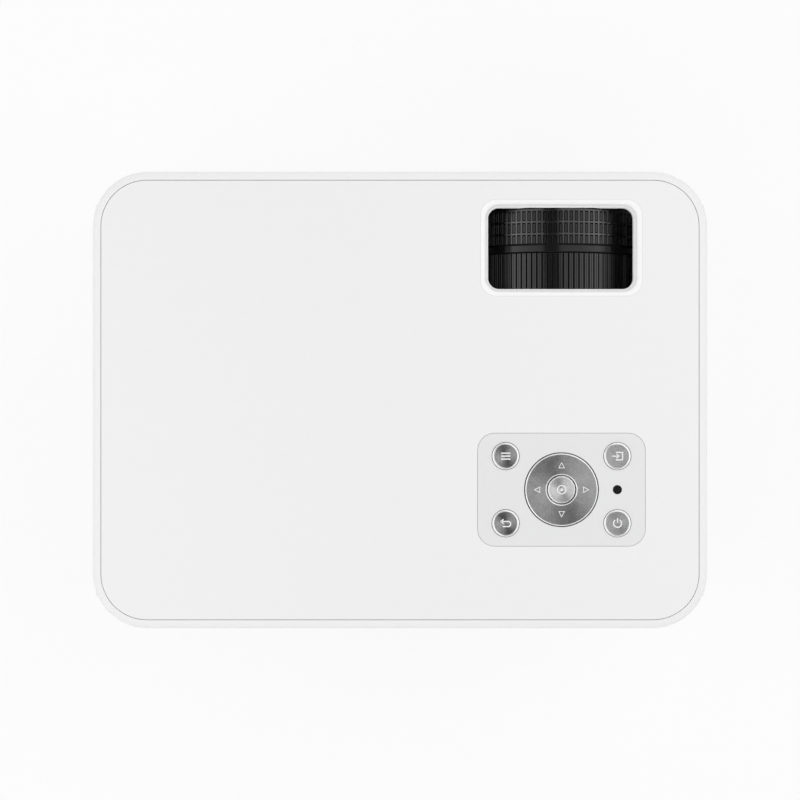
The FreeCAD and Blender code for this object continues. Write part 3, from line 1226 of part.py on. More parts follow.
def lcd_panel():
    """The picture panel: a glass sandwich in a thin frame."""
    lcd = Moulding("lcd_panel")
    half_y = "((box_back - box_front)/2 - box_wall - optic_fit)"
    frame = rectangle(
        (f"path_y - {half_y}", f"path_y + {half_y}"), (f"lens_z - {OPTIC_HALF}", f"lens_z + {OPTIC_HALF}")
    )
    glass_face = rectangle(
        (f"path_y - {half_y} + lcd_border", f"path_y + {half_y} - lcd_border"),
        (f"lens_z - {OPTIC_HALF} + lcd_border", f"lens_z + {OPTIC_HALF} - lcd_border"),
    )
    lcd.add("YZ", "lcd_x - lcd_thick/2", "lcd_thick", frame)
    for start in ("lcd_x - lcd_thick/2", "lcd_x + lcd_thick/4"):
        lcd.cut("YZ", start, "lcd_thick/4", glass_face)


def condenser_lens():
    """The thick lens that gathers the lamp's light."""
    flat = "condenser_x - condenser_edge/2"
    shoulder = "condenser_x + condenser_edge/2"
    middle = f"{shoulder} - sqrt(condenser_curve^2 - {OPTIC_HALF}^2)"
    disc = rod("X", OPTIC_HALF, ("path_y", "lens_z"), (flat, f"{middle} + condenser_curve"))
    node("condenser_lens", shared(disc, ball("condenser_curve", middle, "path_y", "lens_z")))


def led_lamp():
    """The lamp: a square board on the heat sink, with a domed lens."""
    half = "lamp_size/2"
    board = box(
        ("box_right - lamp_thick", "box_right"), (f"path_y - {half}", f"path_y + {half}"),
        (f"lens_z - {half}", f"lens_z + {half}")
    )
    dome = shared(
        ball("lamp_dome", "box_right - lamp_thick", "path_y", "lens_z"),
        box(
            ("box_right - lamp_thick - lamp_dome - spare", "box_right - lamp_thick/2"),
            (f"path_y - {half}", f"path_y + {half}"), (f"lens_z - {half}", f"lens_z + {half}")
        ),
    )
    node("led_lamp", joined(board, dome))


def heat_sink():
    """The finned block that carries the lamp's heat to the fan."""
    sink = Moulding("heat_sink")
    plate = rectangle(("box_right", "box_right + sink_plate"), ("box_front", "box_back"))
    sink.add("XY", BOX_LOW, "2*box_half_height", plate)
    fins = []
    for i in range(int(size("fin_count"))):
        y = f"box_front + fin_thick/2 + {i}*(box_back - box_front - fin_thick)/(fin_count - 1)"
        across = (f"{y} - fin_thick/2", f"{y} + fin_thick/2")
        fins.append(rectangle(("box_right + sink_plate/2", "sink_end"), across))
    sink.add("XY", BOX_LOW, "2*box_half_height", *fins)


# ------------------------------------------------------------------ fan


def fan_frame():
    """The square frame with its hub plate, four struts and the axle."""
    frame = Moulding("fan_frame")
    outline = rounded("fan_size", "fan_size", "fan_round", "fan_y", "fan_z")
    inset_hole = "fan_size/2 - fan_hole_inset"
    holes = [circle("fan_hole", y, z) for y, z in corners(inset_hole, inset_hole, "fan_y", "fan_z")]
    frame.add("YZ", FAN_INNER, "fan_depth", outline, circle("fan_bore", "fan_y", "fan_z"), *holes)
    reach, half = "(fan_bore + strut_root)", "strut_width/2"
    frame.add(
        "YZ", FAN_INNER, "fan_plate",
        rectangle((f"fan_y - {reach}", f"fan_y + {reach}"), (f"fan_z - {half}", f"fan_z + {half}"))
    )
    frame.add(
        "YZ", FAN_INNER, "fan_plate",
        rectangle((f"fan_y - {half}", f"fan_y + {half}"), (f"fan_z - {reach}", f"fan_z + {reach}"))
    )
    frame.add("YZ", FAN_INNER, "fan_plate", circle("fan_hub", "fan_y", "fan_z"))
    frame.add("YZ", FAN_INNER, "fan_plate + axle_length", circle("axle_radius", "fan_y", "fan_z"))


def fan_rotor():
    """Hub and pitched blades, on the frame's axle."""
    start = f"{FAN_INNER} + fan_plate + fan_gap"
    end = f"{FAN_OUTER} - fan_gap"
    tip = "(fan_bore - fan_blade_fit)"
    half = "blade_width/2"
    blades = []
    for i in range(int(size("blade_count"))):
        pitched = DOC.addObject("Part::Compound", "blade")
        along = ("fan_hub - blade_root", f"{tip} + blade_root")
        pitched.Links = [box((f"-{half}", half), ("-blade_thick/2", "blade_thick/2"), along)]
        spin = TURN(VEC(1, 0, 0), 360 * i / size("blade_count"))
        pitched.Placement = PLACE(VEC(), spin.multiply(TURN(VEC(0, 0, 1), size("blade_pitch"))))
        blades.append(bind(pitched, x=f"({start} + {end})/2", y="fan_y", z="fan_z"))
    axis = ("fan_y", "fan_z")
    trimmed = shared(joined(*blades), rod("X", tip, axis, (start, end)))
    hub = rod("X", "fan_hub", axis, (start, end))
    bore = rod(
        "X", "axle_radius + axle_fit", axis,
        (f"{start} - spare", f"{FAN_INNER} + fan_plate + axle_length + fan_gap")
    )
    node("fan_rotor", minus(joined(hub, trimmed), bore))


# ------------------------------------------------------------------ boards, sockets, speakers


def board(name):
    """A circuit board over its four pillars."""
    return box((f"{name}_left", f"{name}_right"), (f"{name}_front", f"{name}_back"), ("board_z", BOARD_TOP))


def on_board(x, y, wide, deep, tall):
    """A block component, by its middle and size."""
    return box(
        (f"{x} - ({wide})/2", f"{x} + ({wide})/2"), (f"{y} - ({deep})/2", f"{y} + ({deep})/2"),
        (BOARD_TOP, f"{BOARD_TOP} + ({tall})")
    )


def main_board():
    """The picture and sound board, with a hole for one of the light box's pillars."""
    chip = on_board("port_mid_x", "main_front + chip_size", "chip_size", "chip_size", "chip_sink_height")
    memory = [
        on_board(
            f"port_mid_x + ({i})*memory_shift", "main_front + chip_size", "memory_width", "memory_length",
            "chip_thick",
        )
        for i in (-1, 1)
    ]
    through = ("board_z - spare", f"{BOARD_TOP} + spare")
    pillar = rod("Z", "stand_radius + optic_fit", BOX_STANDS[3], through)
    node("main_board", minus(joined(board("main"), chip, *memory), pillar))


def power_supply():
    """The mains board: transformer, coil, capacitors and a heat sink bar."""
    x, y = "(supply_left + supply_right)/2", "(supply_front + supply_back)/2"
    parts = [
        on_board(x, y, "coil_size", "coil_size", "coil_height"),
        on_board(f"{x} - coil_size", f"{y} - choke_shift", "choke_size", "choke_size", "choke_height"),
        on_board(f"{x} + coil_size", y, "rail_sink_width", "rail_sink_length", "rail_sink_height"),
    ]
    for i in (-1, 1):
        place = (f"{x} - coil_size", f"{y} + capacitor_shift + ({i})*capacitor_pitch/2")
        parts.append(rod("Z", "capacitor_radius", place, (BOARD_TOP, f"{BOARD_TOP} + capacitor_height")))
    node("power_supply", joined(board("supply"), *parts))


def port_sockets():
    """Metal shells and round jacks, each open at the rear."""
    back, deep = f"{BACK} - socket_inset", "socket_depth"
    sockets = []
    for x, wide, tall in SOCKETS:
        outer = box(
            (f"{x} - {wide}/2", f"{x} + {wide}/2"), (f"{back} - {deep}", back),
            (BOARD_TOP, f"{BOARD_TOP} + {tall}")
        )
        wall = "socket_wall"
        if (x, wide, tall) in JACKS:
            room = rod(
                "Y", "jack_bore", (x, f"{BOARD_TOP} + {tall}/2"),
                (f"{back} - {deep} + {wall}", f"{back} + spare")
            )
        else:
            room = box(
                (f"{x} - {wide}/2 + {wall}", f"{x} + {wide}/2 - {wall}"),
                (f"{back} - {deep} + {wall}", f"{back} + spare"),
                (f"{BOARD_TOP} + {wall}", f"{BOARD_TOP} + {tall} - {wall}"),
            )
        sockets.append(minus(outer, room))
    group("port_sockets", *sockets)


def power_inlet():
    """The two-pin mains inlet."""
    inlet = Moulding("power_inlet")
    inlet.add("XZ", f"{BACK} - inlet_depth", "inlet_depth", inlet_outline("0"))
    inlet.add("XZ", f"{BACK} - inlet_flange", "inlet_flange", inlet_outline("inlet_border"))
    room = rounded(
        "inlet_cavity_width", "inlet_cavity_height", "inlet_cavity_height*end_round", "inlet_x", "inlet_z"
    )
    inlet.cut("XZ", f"{BACK} - inlet_cavity", "inlet_cavity", room)
    pins = [circle("inlet_pin", f"inlet_x + ({i})*inlet_pin_half", "inlet_z") for i in (-1, 1)]
    inlet.add("XZ", f"{BACK} - inlet_cavity", "inlet_pin_length", *pins)


def speakers():
    """Two round speakers behind the side walls' holes."""
    pair = []
    for i in (-1, 1):
        face, rear = f"({i})*({INSIDE} - seat_gap)", f"({i})*({INSIDE} - seat_gap - speaker_depth)"
        span = (rear, face) if i > 0 else (face, rear)
        dip = f"({i})*({INSIDE} - seat_gap - speaker_depth/2)"
        dish = (dip, f"{face} + spare") if i > 0 else (f"{face} - spare", dip)
        place = ("speaker_y", "speaker_z")
        pair.append(minus(rod("X", "speaker_radius", place, span), rod("X", "speaker_cone", place, dish)))
    group("speakers", *pair)


# ------------------------------------------------------------------ disc drive


def drive_bridge():
    """The sheet bridge that carries the drive over the power supply."""
    half, thick = f"({DRIVE_HALF})", "bridge_sheet"
    y = ("bridge_front", "bridge_back")
    sheets = [box((f"drive_x - {half}", f"drive_x + {half}"), y, (f"drive_z - {thick}", "drive_z"))]
    for i in (-1, 1):
        near, far = f"drive_x + ({i})*({half} - {thick})", f"drive_x + ({i})*{half}"
        toe = f"drive_x + ({i})*({half} + bridge_flange)"
        leg, foot = ((near, far), (near, toe)) if i > 0 else ((far, near), (toe, near))
        sheets.append(box(leg, y, (FLOOR, "drive_z")))
        sheets.append(box(foot, y, (FLOOR, f"{FLOOR} + {thick}")))
    window = box(
        ("drive_x - drive_width/3", "drive_x + drive_width/3"),
        ("bridge_front + bridge_flange", "bridge_back - bridge_flange"),
        (f"drive_z - 2*{thick}", "drive_z + spare"),
    )
    node("drive_bridge", minus(joined(*sheets), window))


def drive_case():
    """The drive's lower pan, open at the front for the tray."""
    outer = box(
        (f"drive_x - {DRIVE_HALF}", f"drive_x + {DRIVE_HALF}"), ("drive_front", DRIVE_BACK),
        ("drive_z", f"{DRIVE_TOP} - sheet"),
    )
    room = box(
        (f"drive_x - {DRIVE_HALF} + sheet", f"drive_x + {DRIVE_HALF} - sheet"),
        ("drive_front - spare", f"{DRIVE_BACK} - sheet"),
        ("drive_z + sheet", f"{DRIVE_TOP} + spare"),
    )
    node("drive_case", minus(outer, room))


def drive_cover():
    """The sheet lid over the drive."""
    lid = Moulding("drive_cover")
    lid.add(
        "XY", f"{DRIVE_TOP} - sheet", "sheet",
        rectangle((f"drive_x - {DRIVE_HALF}", f"drive_x + {DRIVE_HALF}"), ("drive_front", DRIVE_BACK)),
        circle("cover_hole", "drive_x", "disc_y"),
    )


def tray_rails():
    """The two sliding rails between the tray and the pan."""
    inner = "(tray_half_width + rail_gap)"
    outer = f"({DRIVE_HALF} - sheet - rail_gap)"
    y = ("drive_front", "drive_front + drive_length - sheet - 2*rail_inset")
    z = ("drive_z + rail_low", "drive_z + rail_low + rail_height")
    rails = [
        box((f"drive_x + {inner}", f"drive_x + {outer}"), y, z),
        box((f"drive_x - {outer}", f"drive_x - {inner}"), y, z),
    ]
    group("tray_rails", *rails)


def disc_tray():
    """The tray: a shallow dish for the disc over a hollow underside, open over the reading unit."""
    tray = Moulding("disc_tray")
    left, right = "drive_x - tray_half_width", "drive_x + tray_half_width"
    tray.add("XY", TRAY_LOW, "tray_height", rectangle((left, right), (TRAY_FRONT, "tray_back")))
    hollow = rectangle(
        (f"{left} + tray_wall", f"{right} - tray_wall"), (f"{TRAY_FRONT} + tray_wall", "tray_back + spare")
    )
    web_low = f"{RECESS_FLOOR} - tray_web"
    tray.cut("XY", TRAY_LOW, f"{web_low} - {TRAY_LOW}", hollow)
    tray.cut("XY", RECESS_FLOOR, "disc_recess_depth", circle("disc_recess", "drive_x", "disc_y"))
    bay = rectangle(
        ("drive_x - sled_bay", "drive_x + screw_bay"), ("disc_y - hub_opening", "tray_back + spare")
    )
    tray.cut("XY", TRAY_LOW, "tray_height", bay)
    grow = "eject_flange + eject_gap"
    tray.cut("XZ", TRAY_FRONT, "eject_flange + eject_travel + eject_gap", eject_outline(grow))


def eject_outline(grow):
    """The eject key's pill outline on the bezel."""
    return rounded(
        f"eject_width + 2*({grow})", f"eject_height + 2*({grow})", "eject_height*end_round",
        "drive_x + eject_offset", BEZEL_Z,
    )


def tray_bezel():
    """The tray's front, flush with the case, with the eject key's hole, a pinhole and a lamp hole."""
    bezel = Moulding("tray_bezel")
    bezel.add("XZ", FRONT, "bezel_thick", bezel_outline("0"))
    bezel.cut(
        "XZ", FRONT, "bezel_thick", eject_outline("eject_gap"),
        circle("pinhole", "drive_x + pinhole_offset", BEZEL_Z),
        circle("lamp_hole", "drive_x + lamp_offset", BEZEL_Z),
    )


def eject_button():
    """The eject key: a pill cap with a flange behind the bezel."""
    cap = Moulding("eject_button")
    cap.add("XZ", f"{FRONT} + eject_inset", "bezel_thick - eject_inset + eject_gap", eject_outline("0"))
    cap.add("XZ", f"{TRAY_FRONT} + eject_gap", "eject_flange", eject_outline("eject_flange"))


def traverse_frame():
    """The plate that carries the motor, the guide rods and the sled, on four short legs."""
    x = ("drive_x - carrier_left", "drive_x + carrier_right")
    y = ("disc_y - carrier_front", "disc_y + carrier_back")
    lug_top, lug = f"{SLIDE_Z} + slide_radius + slide_fit", "carrier_lug"
    parts = [box(x, y, (CARRIER_LOW, CARRIER_TOP))]
    starts = (f"{y[1]} - {lug}", "disc_y + sled_start - 2*carrier_lug")
    leg = "standoff_radius"
    for a in (f"{x[0]} + {leg}", f"{x[1]} - {leg}"):
        for b in (f"{y[0]} + {leg}", f"{y[1]} - {leg}"):
            parts.append(rod("Z", leg, (a, b), ("drive_z + sheet", CARRIER_TOP)))
    rear_x = (x[0], "drive_x + screw_bay - carrier_gap")
    parts.append(box(rear_x, (starts[0], y[1]), (CARRIER_LOW, lug_top)))
    for i in (-1, 1):
        mid = f"drive_x + ({i})*slide_half"
        parts.append(
            box(
                (f"{mid} - nut_half", f"{mid} + nut_half"), (starts[1], f"{starts[1]} + {lug}"),
                (CARRIER_LOW, lug_top)
            )
        )
        parts.append(rod("Y", "slide_radius", (mid, SLIDE_Z), (starts[1], y[1])))
    screw_x = "drive_x + screw_offset"
    half = "motor_box/2"
    parts.append(
        box(
            (f"{screw_x} - {half}", f"{screw_x} + {half}"),
            ("disc_y + lead_start - motor_box_length", "disc_y + lead_start"),
            (CARRIER_LOW, f"{SLIDE_Z} + slide_radius")
        )
    )
    bore = rod(
        "Y", "lead_radius + shaft_fit", (screw_x, SLIDE_Z),
        ("disc_y + lead_start - motor_box_length/2", f"{y[1]} + spare")
    )
    node("traverse_frame", minus(joined(*parts), bore))


def spindle_motor():
    """The flat motor under the turntable, with its shaft."""
    place = ("drive_x", "disc_y")
    can = rod("Z", "motor_radius", place, (CARRIER_TOP, MOTOR_TOP))
    node(
        "spindle_motor",
        joined(can, rod("Z", "shaft_radius", place, (CARRIER_TOP, f"{CARRIER_TOP} + shaft_top")))
    )


def turntable():
    """The table that the disc rests on, with the hub that centres it."""
    table = Moulding("turntable")
    low = f"{MOTOR_TOP} + table_gap"
    table.add("XY", low, "table_thick", circle("table_radius"))
    table.add("XY", low, "table_thick + hub_height", circle("hub_radius"))
    table.cut("XY", low, "shaft_top - motor_thick + shaft_fit", circle("shaft_radius + shaft_fit"))
    table.move("drive_x", "disc_y")


def pickup_sled():
    """The reading unit: a block on the two guide rods, with its lens and the arm to the lead screw."""
    y = ("disc_y + sled_start", "disc_y + sled_start + sled_length")
    z = ("drive_z + sled_low", "drive_z + sled_high")
    screw_x = "drive_x + screw_offset"
    block = box(("drive_x - sled_half_width", "drive_x + sled_half_width"), y, z)
    mid_y = f"({y[0]} + {y[1]})/2"
    eye = rod("Z", "lens_half", ("drive_x", mid_y), (z[1], f"{z[1]} + lens_proud"))
    nut = box(
        ("drive_x + sled_half_width", f"{screw_x} + nut_half"),
        (f"{mid_y} - nut_half", f"{mid_y} + nut_half"), z
    )
    through = (f"{y[0]} - spare", f"{y[1]} + spare")
    bores = [rod("Y", "lead_radius + slide_fit", (screw_x, SLIDE_Z), through)]
    for i in (-1, 1):
        axis = (f"drive_x + ({i})*slide_half", SLIDE_Z)
        bores.append(rod("Y", "slide_radius + slide_fit", axis, through))
    node("pickup_sled", minus(joined(block, eye, nut), *bores))


def lead_screw():
    """The screw that drives the sled, between its motor and the rear lug."""
    span = ("disc_y + lead_start - motor_box_length/2 + shaft_fit", "disc_y + carrier_back")
    place = ("drive_x + screw_offset", SLIDE_Z)
    node(
        "lead_screw",
        minus(
            rod("Y", "lead_radius", place, span),
            rod("Y", "shaft_radius/2", place, (f"{span[1]} - spare", f"{span[1]} + spare"))
        )
    )


# ------------------------------------------------------------------ assembly


def build():
    """Every piece, in the order that they go together on the bench."""
    bottom_cover()
    rubber_feet()
    threaded_inserts()
    foot_pad()
    foot_screw()
    for piece in (main_board, power_supply, port_sockets, power_inlet, port_panel):
        piece()
    for piece in (light_box_lower, led_lamp, heat_sink, mirror, mirror_frame, lcd_panel, condenser_lens):
        piece()
    flat_optic("field_fresnel", "fresnel_front_x", "fresnel_thick")
    flat_optic("collimator_fresnel", "fresnel_rear_x", "fresnel_thick")
    for piece in (
        light_box_upper, lens_bracket, lens_tube, lens_barrel, keystone_ring, keystone_rod, focus_ring
    ):
        piece()
    glass("front_lens", f"({BARREL_BORE} - lens_fit)", "barrel_step", "front_lens_edge", -1)
    glass("rear_lens", "(rear_bore - lens_fit)", "rear_step", "rear_lens_edge", 1)
    for piece in (fan_frame, fan_rotor, speakers):
        piece()
    for piece in (
        drive_bridge, drive_case, traverse_frame, spindle_motor, lead_screw, pickup_sled, turntable
    ):
        piece()
    for piece in (tray_rails, disc_tray, tray_bezel, eject_button, drive_cover):
        piece()
    upper_housing()
    side_grille("left_grille", -1)
    side_grille("right_grille", 1)
    for piece in (lens_trim_ring, case_screws, top_panel, key_board, tact_switches, nav_spider, nav_ring):
        piece()
    ok_button()
    for label, place in KEYS.items():
        key(label, place)
    ir_window()
    control_plate()


def check():
    """Stop before anything is written if an object failed or a piece has no sound shape."""
    failed = [f"{o.Name} ({o.Label})" for o in DOC.Objects if {"Invalid", "Error"} & set(o.State)]
    empty = [o.Label for o in NODES if o.Shape.isNull() or not o.Shape.isValid() or not o.Shape.Solids]
    if failed or empty:
        raise RuntimeError(f"failed: {failed}; no sound shape: {empty}")


def export():
    """Write each piece to its own STEP file, under its own name."""
    os.makedirs("parts", exist_ok=True)
    for piece in NODES:
        piece.Shape.exportStep(f"parts/{piece.Label}.step")


build()
DOC.recompute()
check()
export()
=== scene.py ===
import math
import bpy
import numpy as np
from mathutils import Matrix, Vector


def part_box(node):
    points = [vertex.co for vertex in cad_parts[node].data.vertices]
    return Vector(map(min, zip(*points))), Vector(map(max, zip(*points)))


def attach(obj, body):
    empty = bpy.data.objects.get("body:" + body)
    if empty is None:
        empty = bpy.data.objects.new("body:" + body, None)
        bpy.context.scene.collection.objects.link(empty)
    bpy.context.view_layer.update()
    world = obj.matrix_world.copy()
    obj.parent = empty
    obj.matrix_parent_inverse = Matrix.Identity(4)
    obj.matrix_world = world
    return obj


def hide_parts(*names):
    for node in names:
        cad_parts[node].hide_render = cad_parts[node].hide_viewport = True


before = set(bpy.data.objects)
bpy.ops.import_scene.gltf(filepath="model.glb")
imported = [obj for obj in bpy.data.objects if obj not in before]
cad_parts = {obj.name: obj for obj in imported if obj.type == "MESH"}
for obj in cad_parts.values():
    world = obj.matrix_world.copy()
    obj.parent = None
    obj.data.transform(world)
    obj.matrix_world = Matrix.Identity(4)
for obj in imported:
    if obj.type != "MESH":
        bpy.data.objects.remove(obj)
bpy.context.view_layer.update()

# Everything is in metres. The lens looks towards -Y, the sockets face +Y, and the case stands on Z = 0.
MM = 0.001


# ---------------------------------------------------------------- bottom cover and case walls
# The floor pan and the walls are injection mouldings of white ABS. Their tool is spark-eroded, which
# leaves a fine even grain; the walls snap over the pan's lip and four screws hold them.

CASE_TINT = (0.86, 0.86, 0.86)
SLOW_SHARE = 0.12
SHEEN_SPREAD = 0.1


def add_node(tree, kind, inputs=None, **settings):
    """A shader node with its settings, and each input linked to a socket or set to a value."""
    node = tree.nodes.new(kind)
    for name, value in settings.items():
        setattr(node, name, value)
    for name, value in (inputs or {}).items():
        if isinstance(value, bpy.types.NodeSocket):
            tree.links.new(value, node.inputs[name])
        else:
            node.inputs[name].default_value = value
    return node


def new_finish(name, sockets):
    """A principled material: constant values go on the shader's own sockets."""
    finish = bpy.data.materials.new(name)
    finish.use_nodes = True
    shader = finish.node_tree.nodes["Principled BSDF"]
    for socket, value in sockets.items():
        shader.inputs[socket].default_value = value
    return finish, finish.node_tree, shader


def feed(tree, shader, sources):
    """Link each output to the shader's socket of that name."""
    for socket, output in sources.items():
        tree.links.new(output, shader.inputs[socket])


def shade(colour, share=1.0):
    """A colour times a share, with full alpha."""
    return tuple(part * share for part in colour) + (1,)


def grained(name, colour, rough, pitch, depth, mottle=0.02, stretch=(1, 1, 1), sockets=None):
    """A grained surface: noise of the given pitch (m) is its relief, of the given depth (m).

    A slower noise, of pitch / SLOW_SHARE, moves the colour between colour * (1 - mottle) and
    colour * (1 + mottle), and the roughness by SHEEN_SPREAD either way. Stretch above 1 along an axis
    makes the grain finer there.
    """
    finish, tree, shader = new_finish(name, sockets or {})
    place = add_node(tree, "ShaderNodeTexCoord").outputs["Object"]
    turned = add_node(tree, "ShaderNodeMapping", {"Vector": place, "Scale": stretch}).outputs["Vector"]
    slow, fine = (
        add_node(tree, "ShaderNodeTexNoise", {"Vector": turned, "Scale": share / pitch, "Detail": detail})
        for share, detail in ((SLOW_SHARE, 3.0), (1.0, 2.0))
    )
    tint = add_node(tree, "ShaderNodeMix", {
        "Factor": slow.outputs["Fac"], "A": shade(colour, 1 - mottle), "B": shade(colour, 1 + mottle),
    }, data_type="RGBA")
    sheen = add_node(tree, "ShaderNodeMapRange", {
        "Value": slow.outputs["Fac"],
        "To Min": rough * (1 - SHEEN_SPREAD), "To Max": rough * (1 + SHEEN_SPREAD),
    })
    relief = add_node(tree, "ShaderNodeBump", {
        "Height": fine.outputs["Fac"], "Strength": 1.0, "Distance": depth,
    })
    feed(tree, shader, {
        "Base Color": tint.outputs["Result"],
        "Roughness": sheen.outputs["Result"],
        "Normal": relief.outputs["Normal"],
    })
    return finish


def dress(finish, *nodes):
    """Give CAD nodes a finish through their material slots."""
    for name in nodes:
        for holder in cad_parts[name].material_slots:
            holder.material = finish


case_white = grained("case_white", CASE_TINT, rough=0.42, pitch=0.5 * MM, depth=0.012 * MM, mottle=0.008)
dress(case_white, "bottom_cover", "upper_housing")


# ---------------------------------------------------------------- feet, levelling foot and inserts
# Four round rubber pads are glued into the floor's recesses. The levelling foot is a black moulded
# screw with a knurled wheel; the tripod and ceiling inserts are turned brass, pressed in hot.

RUBBER_TINT = (0.028, 0.028, 0.029)
FOOT_TINT = (0.03, 0.03, 0.031)
BRASS_TINT = (0.56, 0.40, 0.16)
rubber_black = grained("rubber_black", RUBBER_TINT, rough=0.85, pitch=0.35 * MM, depth=0.03 * MM, mottle=0.15)
foot_black = grained("foot_black", FOOT_TINT, rough=0.45, pitch=0.3 * MM, depth=0.012 * MM, mottle=0.08)
dress(rubber_black, "rubber_feet", "foot_pad")
dress(foot_black, "foot_screw")


def turned_metal(name, colour, rough, ridge, depth, mottle=0.05):
    """Metal that was turned or drawn: fine ridges across Z, of the given pitch and depth (m)."""
    return grained(
        name, colour, rough, ridge, depth, mottle=mottle, stretch=(0.15, 0.15, 1), sockets={"Metallic": 1.0}
    )


brass_bare = turned_metal("brass_bare", BRASS_TINT, rough=0.28, ridge=0.12 * MM, depth=0.006 * MM)
dress(brass_bare, "threaded_inserts")


# ---------------------------------------------------------------- case screws
# Four zinc-plated case screws with low flat heads and a cross recess, cold headed and turned. They sit
# in the floor's wells, heads down.

HEAD_RADIUS, HEAD_THICK, HEAD_EDGE = 2.8 * MM, 2.0 * MM, 0.25 * MM
SHANK_RADIUS, POINT_LENGTH, POINT_RADIUS, TIP_RADIUS = 1.45 * MM, 0.6 * MM, 0.5 * MM, 0.02 * MM
FACE_RINGS = (0.02, 0.1, 0.2, 0.3, 0.4, 0.5, 0.6, 0.7, 0.8, 0.93)
CROSS_DEPTH, CROSS_HALF_WIDTH, CROSS_REACH = 1.1 * MM, 0.42 * MM, 1.75 * MM
CROSS_FALL = 0.35
SCREW_STEPS = 96
ZINC_TINT = (0.50, 0.51, 0.53)


def put(name, points, faces, finish, body, slot, replaced=(), sharp=35):
    mesh = bpy.data.meshes.new(name)
    mesh.from_pydata(points.reshape(-1, 3).tolist(), [], [list(map(int, face)) for face in faces])
    mesh.validate()
    mesh.shade_smooth()
    mesh.set_sharp_from_angle(angle=math.radians(sharp))
    mesh.materials.append(finish)
    piece = bpy.data.objects.new(name, mesh)
    bpy.context.scene.collection.objects.link(piece)
    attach(piece, body)
    if replaced:
        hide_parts(*replaced)
    return piece


def grid_faces(rows, columns, looped=False, first=0):
    """Faces of rows x columns points whose last column joins the first; looped joins the last row too."""
    row, column = np.meshgrid(np.arange(rows if looped else rows - 1), np.arange(columns), indexing="ij")
    ahead = (column + 1) % columns
    here, there = row * columns, (row + 1) % rows * columns
    return first + np.stack([here + column, here + ahead, there + ahead, there + column], -1).reshape(-1, 4)


def capped_faces(rows, columns, first=0):
    """The faces of an open grid, with a flat face over its first row and one over its last."""
    last = first + (rows - 1) * columns
    ends = [list(range(first, first + columns))[::-1], list(range(last, last + columns))]
    return grid_faces(rows, columns, first=first).tolist() + ends


def screw_shape(node):
    """Every screw of a node, as one polar grid each: radius against height, turned about Z.

    The head's face is sunk by CROSS_DEPTH * (1 - r / CROSS_REACH) ** CROSS_FALL inside either bar.
    """
    low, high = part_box(node)
    head_top, tip = low[2] + HEAD_THICK, high[2]
    face = [(share * HEAD_RADIUS, low[2]) for share in FACE_RINGS]
    side = [
        (HEAD_RADIUS, low[2] + HEAD_EDGE), (HEAD_RADIUS, head_top), (SHANK_RADIUS, head_top),
        (SHANK_RADIUS, tip - POINT_LENGTH), (POINT_RADIUS, tip), (TIP_RADIUS, tip),
    ]
    radius, height = np.array(face + side).T
    angle = np.linspace(0, 2 * np.pi, SCREW_STEPS, endpoint=False)
    x, y = radius[:, None] * np.cos(angle), radius[:, None] * np.sin(angle)
    z = np.repeat(height[:, None], SCREW_STEPS, 1)
    bar = np.minimum(np.abs(x), np.abs(y)) < CROSS_HALF_WIDTH
    sunk = np.clip(1 - np.hypot(x, y) / CROSS_REACH, 0, 1) ** CROSS_FALL * CROSS_DEPTH
    z = z + np.where(bar & (np.arange(len(radius))[:, None] < len(face)), sunk, 0)
    points, faces = [], []
    for place_x in (low[0] + HEAD_RADIUS, high[0] - HEAD_RADIUS):
        for place_y in (low[1] + HEAD_RADIUS, high[1] - HEAD_RADIUS):
            faces += capped_faces(len(radius), SCREW_STEPS, first=len(points) * x.size)
            points.append(np.stack([x + place_x, y + place_y, z], -1).reshape(-1, 3))
    return np.concatenate(points), faces


zinc_screw = turned_metal("zinc_screw", ZINC_TINT, rough=0.3, ridge=0.1 * MM, depth=0.004 * MM)
put("cross_screws", *screw_shape("case_screws"), zinc_screw,
    "chassis", "steel_zinc", ["case_screws"], sharp=25)


# ---------------------------------------------------------------- circuit boards
# Main board, supply and key board: glass-epoxy sheet under green solder mask with copper tracks,
# carrying moulded chips, coils and capacitors. They stand on the floor's pillars.

TRACK_PITCH, TRACK_DEPTH = 1.4 * MM, 0.03 * MM
CELL_SHARE = 0.12
MASK_TINT, TRACK_TINT = (0.008, 0.075, 0.035), (0.02, 0.16, 0.07)
SWITCH_TINT = (0.03, 0.03, 0.03)
# A wave texture of scale 1 repeats about every 0.32 m.
WAVE_REPEAT = 0.32


def colour_ramp(tree, factor, stops):
    """The colour between two stops, each a (position, colour) pair."""
    ramp = add_node(tree, "ShaderNodeValToRGB", {"Fac": factor})
    for stop, (position, colour) in zip(ramp.color_ramp.elements, stops):
        stop.position = position
        stop.color = shade(colour)
    return ramp.outputs["Color"]


def board_finish():
    """Solder mask over tracks: stripes along X or Y, as a pattern of cells says, lie TRACK_DEPTH proud."""
    finish, tree, shader = new_finish("board_green", {"Roughness": 0.35})
    place = add_node(tree, "ShaderNodeTexCoord").outputs["Object"]
    cells = add_node(tree, "ShaderNodeTexVoronoi", {
        "Vector": place, "Scale": CELL_SHARE / TRACK_PITCH,
    }, distance="MANHATTAN")
    along, across = (
        add_node(tree, "ShaderNodeTexWave", {
            "Vector": place, "Scale": WAVE_REPEAT / TRACK_PITCH,
        }, bands_direction=way)
        for way in "XY"
    )
    pick = add_node(tree, "ShaderNodeMix", {
        "Factor": cells.outputs["Color"], "A": along.outputs["Fac"], "B": across.outputs["Fac"],
    }, data_type="FLOAT")
    tint = colour_ramp(tree, pick.outputs["Result"], ((0.55, MASK_TINT), (0.7, TRACK_TINT)))
    relief = add_node(tree, "ShaderNodeBump", {"Height": pick.outputs["Result"], "Distance": TRACK_DEPTH})
    feed(tree, shader, {"Base Color": tint, "Normal": relief.outputs["Normal"]})
    return finish


